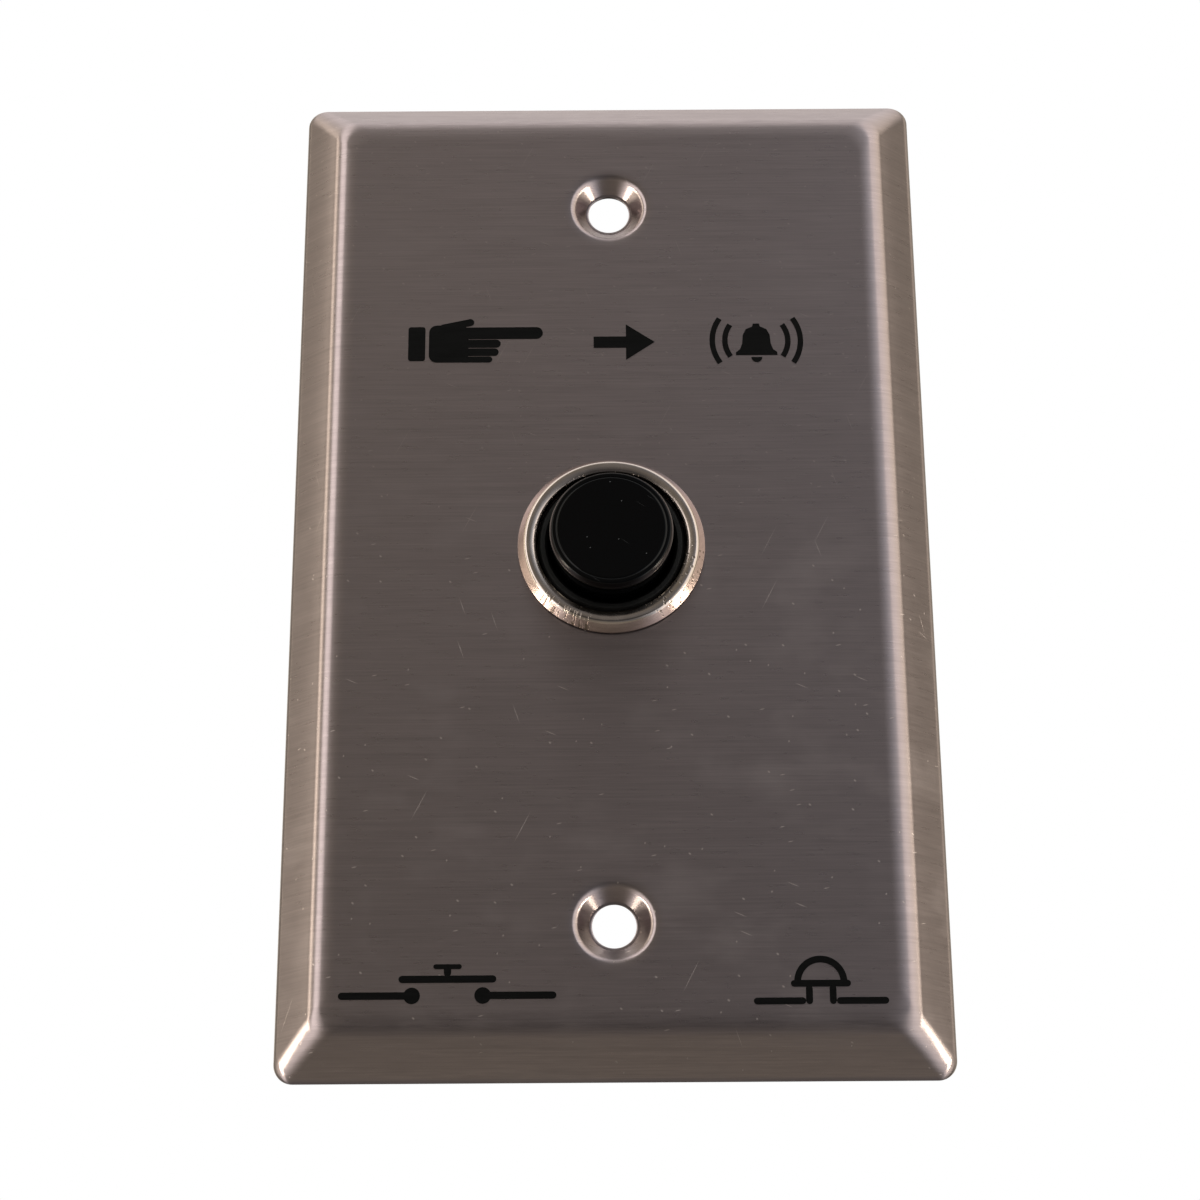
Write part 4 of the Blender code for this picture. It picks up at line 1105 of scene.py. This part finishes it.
def make_terminals(settings):
    thin = settings.hardware.edge_break
    for side in ("left", "right"):
        node = f"terminal_{side}"
        x = centre_of(node)[0]
        low, high = span(node, "y")
        half = radius_of(node)
        outline = stadium(half, 0, -WIRE_SCREW_DROP, 24)
        mesh = prism(f"brass_terminal_{side}", outline, terminal_holes(), high - low)
        piece = add(f"brass_terminal_{side}", mesh, "stamped_brass", location=(x, low, 0))
        install(round_edges(piece, 0.8 * thin), "switch", "brass", node)

        node = f"clamp_washer_{side}"
        x, z = centre_of(node)
        low, high = span(node, "y")
        outline = rounded_rectangle(radius_of(node), radius_of(node), 0.8 * MM, 8)
        mesh = prism(f"square_washer_{side}", outline, [circle(WIRE_SCREW_HOLE, SMALL_STEPS)], high - low)
        piece = add(f"square_washer_{side}", mesh, "zinc_plated_steel", location=(x, low, z))
        install(round_edges(piece, 0.8 * thin), "switch", "zinc_steel", node)

        make_screw(f"wire_screw_{side}", f"terminal_screw_{side}", 1.8 * MM, 1.7 * MM, 0.794 * MM, 0.9 * MM)
    for end in ("upper", "lower"):
        make_screw(f"body_screw_{end}", f"base_screw_{end}", 1.5 * MM, 1.1 * MM, 0.6 * MM, 0.9 * MM)


# Contacts


def make_contact(name, node, facing, body):
    """A rivet in place of a CAD node. Its domed head faces along Y, 1, or against it, -1."""
    low, high = span(node, "y")
    face, tail = (high, low) if facing > 0 else (low, high)
    head = radius_of(node)
    shank, foot = 0.8 * MM, 1.2 * MM
    dome = [(head * i / 10, -0.25 * MM * (i / 10) ** 2) for i in range(11)]
    grip = abs(face - tail) - 0.4 * MM
    profile = dome + softened(
        [dome[-1], (head, -0.6 * MM), (shank, -0.6 * MM), (shank, -grip), (foot, -grip)], 0.08 * MM
    )[1:]
    profile += arc((foot - 0.3 * MM, -grip - 0.1 * MM), 0.3 * MM, 0, -90, 6) + [(0, -grip - 0.4 * MM)]
    x, z = centre_of(node)
    mesh = turned(name, [(radius, facing * y) for radius, y in profile], SMALL_STEPS)
    install(add(name, mesh, "cold_headed_silver", location=(x, face, z)), body, "contact_silver", node)


def make_contacts(settings):
    for side in ("left", "right"):
        make_contact(f"silver_fixed_contact_{side}", f"fixed_contact_{side}", -1, "switch")
        make_contact(f"silver_bridge_contact_{side}", f"bridge_contact_{side}", 1, "plunger")
    low, high = span("contact_bridge", "y")
    half_width = span("contact_bridge", "z")[1]
    outline = rounded_rectangle(radius_of("contact_bridge"), half_width, 1.8 * MM, CORNER_STEPS)
    holes = [circle(STEM_HOLE, SMALL_STEPS)]
    holes += [circle(RIVET_HOLE, SMALL_STEPS, (x, 0)) for x in (CONTACT_X, -CONTACT_X)]
    mesh = prism("brass_bridge", outline, holes, high - low)
    bridge = add("brass_bridge", mesh, "stamped_brass", location=(0, low, 0))
    install(round_edges(bridge, 0.8 * settings.hardware.edge_break), "plunger", "brass", "contact_bridge")


# Button, stem, clip and springs


def make_button(settings):
    edge = settings.hardware.cap_edge
    top, foot = BUTTON_TOP_Y, BUTTON_FOOT_Y
    wall = BUTTON_RADIUS - 1.1 * MM
    crown, socket = top + 1.6 * MM, top + 6.6 * MM
    boss, boss_bore = 2.95 * MM, 2.05 * MM
    chamfer, fall = 0.24 * MM, 0.06 * MM
    # A fine groove parts the flat from its border: millimetres from its middle, and its depth there
    flat = [(0, top), (BUTTON_RADIUS - 1.4 * edge, top)]
    for step, dip in ((-0.1, 0), (-0.06, 0.01), (0, 0.055), (0.06, 0.025), (0.1, 0.02)):
        flat.append((BUTTON_RADIUS - edge + step * MM, top + dip * MM))
    border = [flat[-1], (BUTTON_RADIUS - chamfer, top + fall), (BUTTON_RADIUS, top + fall + 1.88 * chamfer)]
    border.append((BUTTON_RADIUS, top + 2 * edge))
    inside = [border[-1], (BUTTON_RADIUS, foot), (wall, foot), (wall, crown), (boss, crown), (boss, socket)]
    inside += [(boss_bore, socket), (boss_bore, crown), (0, crown)]
    inside = softened(inside, settings.hardware.edge_break)
    mesh = turned("moulded_cap", flat + softened(border, 0.2 * MM, 10)[1:] + inside[1:], ROUND_STEPS)
    install(add("moulded_cap", mesh, "moulded_black_abs"), "plunger", "black_plastic", "button_cap")


def make_stem(settings):
    low, high = span("plunger_stem", "y")
    shank, flange, waist = 1.8 * MM, radius_of("plunger_stem"), 1.2 * MM
    lead_in, gap = 0.3 * MM, 0.2 * MM
    flange_y = HOUSING_Y[0] + 11.7 * MM
    flange_end = flange_y + 0.9 * MM
    groove, groove_end = span("stem_clip", "y")[0] - gap, span("stem_clip", "y")[1] + gap
    profile = [(0, low), (shank - lead_in, low), (shank, low + lead_in), (shank, flange_y)]
    profile += [(flange, flange_y), (flange, flange_end), (shank, flange_end), (shank, groove), (waist, groove)]
    profile += [(waist, groove_end), (shank, groove_end), (shank, high - lead_in)]
    profile += [(shank - lead_in, high), (0, high)]
    mesh = turned("nylon_stem", softened(profile, 0.1 * MM), SMALL_STEPS)
    install(add("nylon_stem", mesh, "moulded_nylon"), "plunger", "nylon", "plunger_stem")

    low, high = span("stem_clip", "y")
    outside = arc((0, 0), 3.4 * MM, -55, 235, PLAIN_STEPS)
    inside = arc((0, 0), 1.4 * MM, 235, -55, PLAIN_STEPS)
    mesh = prism("open_clip", softened(outside + inside, 0.3 * MM, closed=True), [], high - low)
    clip = add("open_clip", mesh, "drawn_spring_steel", location=(0, low, 0))
    install(round_edges(clip, 0.08 * MM, 2), "plunger", "spring_steel", "stem_clip")


def make_springs(settings):
    low, high = span("return_spring", "y")
    wire = 0.7 * MM
    radius = radius_of("return_spring") - wire / 2
    path = spring_path(radius, high - low, wire, 7, SMALL_STEPS)
    piece = coil("wound_return_spring", path, wire, "drawn_spring_steel", (0, low, 0))
    install(piece, "switch", "spring_steel", "return_spring")
    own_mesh(piece)

    low, high = span("contact_spring", "y")
    wire = 0.45 * MM
    radius = radius_of("contact_spring") - wire / 2
    path = spring_path(radius, high - low, wire, 3, SMALL_STEPS)
    piece = coil("wound_contact_spring", path, wire, "drawn_spring_steel", (0, low, 0))
    install(piece, "plunger", "spring_steel", "contact_spring")


# Stage


WARM, PALE, COOL = (1.0, 0.93, 0.76), (1.0, 0.97, 0.92), (0.86, 0.93, 1.0)
NEUTRAL = (0.98, 0.99, 0.97)
BRIGHTEST = 2.2  # the ramps hold shares of this
# What mirrors see round the plate: (degrees from straight ahead, tint, brightness), negative to the left
SIDE_PANELS = (
    (-180, WARM, 1.0),
    (-150, WARM, 0.8),
    (-135, WARM, 0.25),
    (-117, WARM, 0.25),
    (-113, WARM, 0.8),
    (-107, WARM, 0.8),
    (-103, WARM, 0.3),
    (-87, WARM, 0.4),
    (-81, WARM, 0.6),
    (-77, WARM, 1.9),
    (-69, WARM, 2.2),
    (-64, WARM, 0.32),
    (-53, WARM, 0.24),
    (-48, PALE, 1.7),
    (-26, PALE, 1.7),
    (-22, WARM, 0.26),
    (-9, WARM, 0.175),
    (2, PALE, 0.155),
    (7, COOL, 0.158),
    (9.5, PALE, 0.2),
    (13.5, COOL, 0.34),
    (17, COOL, 0.52),
    (21, COOL, 0.85),
    (26, PALE, 1.6),
    (33, PALE, 1.25),
    (75, WARM, 1.25),
    (81, WARM, 0.27),
    (103, WARM, 0.23),
    (107, WARM, 0.8),
    (113, WARM, 0.8),
    (135, WARM, 0.3),
    (180, WARM, 1.0),
)
# The same above and below, by height as a share of the way from the lowest point to the highest
POLES = (
    (0.0, WARM, 0.24),
    (0.2, WARM, 0.2),
    (0.75, PALE, 0.65),
    (0.95, NEUTRAL, 1.12),
    (1.0, NEUTRAL, 1.18),
)
# Where the side panels show, by the same height
PANEL_REACH = ((0.05, 0), (0.12, 1), (0.85, 1), (0.97, 0))
LAMP_SIDE, LAMP_LOW = 71, 21  # degrees to each side and below eye level
LAMP_CORE, LAMP_HALO = 4.0, 9.0  # degrees from a lamp's middle
LAMP_BRIGHTNESS = 24
CLOTHES, WALL_FOOT = (0.05,) * 3, (0.12,) * 3  # two dark patches, low in front and low behind
FILL, BACKDROP = (0.6,) * 3, (1,) * 3  # what matt surfaces and the camera see


def light_the_room():
    """A world that is white to the eye and, to mirrors, a dim room with tall soft panels on both sides, which
    lean outwards below eye level, and a small bright lamp low on each side."""
    world = bpy.data.worlds.new("studio_room")
    world.use_nodes = True
    world.node_tree.nodes.clear()
    node = functools.partial(add_node, world.node_tree)
    direction = node("TexCoord", out="Generated")
    axes = node("SeparateXYZ", (direction,), out=None)
    ahead = node("Math", (axes["Y"], -1), operation="MULTIPLY")
    turn = node("Math", (axes["X"], ahead), operation="ARCTAN2")
    lean = node("Math", (axes["Z"], 1, 1), operation="MULTIPLY_ADD", use_clamp=True)
    share = node("Math", (lean, math.tau), operation="DIVIDE")
    turn = node("Math", (turn, share, 0.5), operation="MULTIPLY_ADD")
    height = node("Math", (axes["Z"], 0.5, 0.5), operation="MULTIPLY_ADD")

    def tinted(colour, value):
        return shaded(colour, value / BRIGHTEST)

    panels = [(0.5 + degrees / 360, tinted(colour, value)) for degrees, colour, value in SIDE_PANELS]
    poles = [(place, tinted(colour, value)) for place, colour, value in POLES]
    reach = [(place, (value, value, value)) for place, value in PANEL_REACH]
    sides, ends = node("ValToRGB", (turn,), stops=panels), node("ValToRGB", (height,), stops=poles)
    mirrored = node("Mix", {0: node("ValToRGB", (height,), stops=reach), 6: ends, 7: sides}, **COLOURS)
    mirrored = node("VectorMath", (mirrored, (BRIGHTEST,) * 3), operation="MULTIPLY")
    # The ranges, ahead and in height, over which each dark patch comes in
    for colour, way, height_range in (
        (CLOTHES, (0.8, 0.93), (0.32, -0.06)),
        (WALL_FOOT, (-0.2, -0.6), (0.0, -0.3)),
    ):
        in_line, low_down = node("MapRange", (ahead, *way)), node("MapRange", (axes["Z"], *height_range))
        patch = node("Math", (in_line, low_down), operation="MULTIPLY")
        mirrored = node("Mix", {0: patch, 6: mirrored, 7: colour}, **COLOURS)
    for side in (-LAMP_SIDE, LAMP_SIDE):
        turned_by = Euler((math.radians(LAMP_LOW), 0, math.radians(side)))
        towards = Vector((0, -1, 0))
        towards.rotate(turned_by)
        facing = node("VectorMath", (direction, towards), out="Value", operation="DOT_PRODUCT")
        edges = (math.cos(math.radians(LAMP_HALO)), math.cos(math.radians(LAMP_CORE)))
        lamp = node("MapRange", (facing, *edges), interpolation_type="SMOOTHSTEP")
        bright = tuple(channel * LAMP_BRIGHTNESS for channel in WARM)
        mirrored = node("Mix", {0: lamp, 6: mirrored, 7: bright}, **COLOURS)
    rays = node("LightPath", out=None)
    seen = node("Mix", {0: rays["Is Diffuse Ray"], 6: mirrored, 7: FILL}, **COLOURS)
    seen = node("Mix", {0: rays["Is Camera Ray"], 6: seen, 7: BACKDROP}, **COLOURS)
    node("OutputWorld", {"Surface": node("Background", {"Color": seen})}, out=None)
    bpy.context.scene.world = world


def make_floor():
    """A pale floor well below the plate, which mirrors don't see."""
    bm = bmesh.new()
    bmesh.ops.create_circle(bm, cap_ends=True, segments=64, radius=4.0)
    floor = add("studio_floor", mesh_of("studio_floor", bm), "matt_studio_floor", location=(0, 0, -0.32))
    floor.visible_glossy = False


def make_camera():
    """A long lens below the plate's front, looking up at it."""
    data = bpy.data.cameras.new("studio_camera")
    data.lens, data.sensor_width = 82.2, 36
    data.clip_start = 0.01
    camera = bpy.data.objects.new("studio_camera", data)
    bpy.context.scene.collection.objects.link(camera)
    camera.location = (-0.0013, -0.2778, -0.1140)
    camera.rotation_euler = [math.radians(angle) for angle in (111.56, 0.336, 0.125)]
    bpy.context.scene.camera = camera


def make_stage(settings):
    light_the_room()
    make_floor()
    make_camera()
    bpy.context.scene.view_settings.view_transform = "Standard"


# Add-on


class AddFaceplate(bpy.types.Operator):
    """Add the pressed, brushed steel plate with its two dimpled screw holes"""

    bl_idname = "push_button.add_faceplate"
    bl_label = "Faceplate"

    def execute(self, context):
        make_faceplate(context.scene.push_button)
        return {"FINISHED"}


class AddMarkings(bpy.types.Operator):
    """Add the symbols printed on the plate"""

    bl_idname = "push_button.add_markings"
    bl_label = "Printed symbols"

    def execute(self, context):
        make_markings(context.scene.push_button)
        return {"FINISHED"}


class AddNuts(bpy.types.Operator):
    """Add the dress nut, the toothed washer and the hexagon nut"""

    bl_idname = "push_button.add_nuts"
    bl_label = "Nuts and washer"

    def execute(self, context):
        make_nuts(context.scene.push_button)
        return {"FINISHED"}


class AddHousing(bpy.types.Operator):
    """Add the threaded housing and the laminate base that closes it"""

    bl_idname = "push_button.add_housing"
    bl_label = "Housing and base"

    def execute(self, context):
        make_housing(context.scene.push_button)
        return {"FINISHED"}


class AddTerminals(bpy.types.Operator):
    """Add the terminals, their square washers and all four screws"""

    bl_idname = "push_button.add_terminals"
    bl_label = "Terminals and screws"

    def execute(self, context):
        make_terminals(context.scene.push_button)
        return {"FINISHED"}


class AddContacts(bpy.types.Operator):
    """Add the silver contacts and the brass bridge"""

    bl_idname = "push_button.add_contacts"
    bl_label = "Contacts"

    def execute(self, context):
        make_contacts(context.scene.push_button)
        return {"FINISHED"}


class AddButton(bpy.types.Operator):
    """Add the glossy black cap"""

    bl_idname = "push_button.add_button"
    bl_label = "Button cap"

    def execute(self, context):
        make_button(context.scene.push_button)
        return {"FINISHED"}


class AddStem(bpy.types.Operator):
    """Add the nylon stem and its clip"""

    bl_idname = "push_button.add_stem"
    bl_label = "Stem and clip"

    def execute(self, context):
        make_stem(context.scene.push_button)
        return {"FINISHED"}


class AddSprings(bpy.types.Operator):
    """Add the return spring and the contact spring"""

    bl_idname = "push_button.add_springs"
    bl_label = "Springs"

    def execute(self, context):
        make_springs(context.scene.push_button)
        return {"FINISHED"}


class AddStage(bpy.types.Operator):
    """Add the studio room, the pale floor and the camera"""

    bl_idname = "push_button.add_stage"
    bl_label = "Stage"

    def execute(self, context):
        make_stage(context.scene.push_button)
        return {"FINISHED"}


OPERATORS = (
    AddStage,
    AddFaceplate,
    AddMarkings,
    AddNuts,
    AddHousing,
    AddTerminals,
    AddContacts,
    AddButton,
    AddStem,
    AddSprings,
)


class PushButtonPanel(bpy.types.Panel):
    """Lists the pieces and their settings"""

    bl_idname = "VIEW3D_PT_push_button"
    bl_label = "Wall plate push button"
    bl_space_type = "VIEW_3D"
    bl_region_type = "UI"
    bl_category = "Push Button"

    def draw(self, context):
        settings = context.scene.push_button
        for group in (settings.plate, settings.hardware, settings.finish):
            box = self.layout.box()
            for name in group.bl_rna.properties.keys():
                if name not in ("name", "rna_type"):
                    box.prop(group, name)
        for operator in OPERATORS:
            self.layout.operator(operator.bl_idname)


CLASSES = (PlateSettings, HardwareSettings, FinishSettings, PushButtonSettings, *OPERATORS, PushButtonPanel)


def register():
    for cls in CLASSES:
        bpy.utils.register_class(cls)
    bpy.types.Scene.push_button = PointerProperty(type=PushButtonSettings)


def unregister():
    del bpy.types.Scene.push_button
    for cls in reversed(CLASSES):
        bpy.utils.unregister_class(cls)


def main():
    register()
    bpy.ops.push_button.add_stage()
    bpy.ops.push_button.add_faceplate()
    bpy.ops.push_button.add_markings()
    bpy.ops.push_button.add_nuts()
    bpy.ops.push_button.add_housing()
    bpy.ops.push_button.add_terminals()
    bpy.ops.push_button.add_contacts()
    bpy.ops.push_button.add_button()
    bpy.ops.push_button.add_stem()
    bpy.ops.push_button.add_springs()


if __name__ == "__main__":
    main()
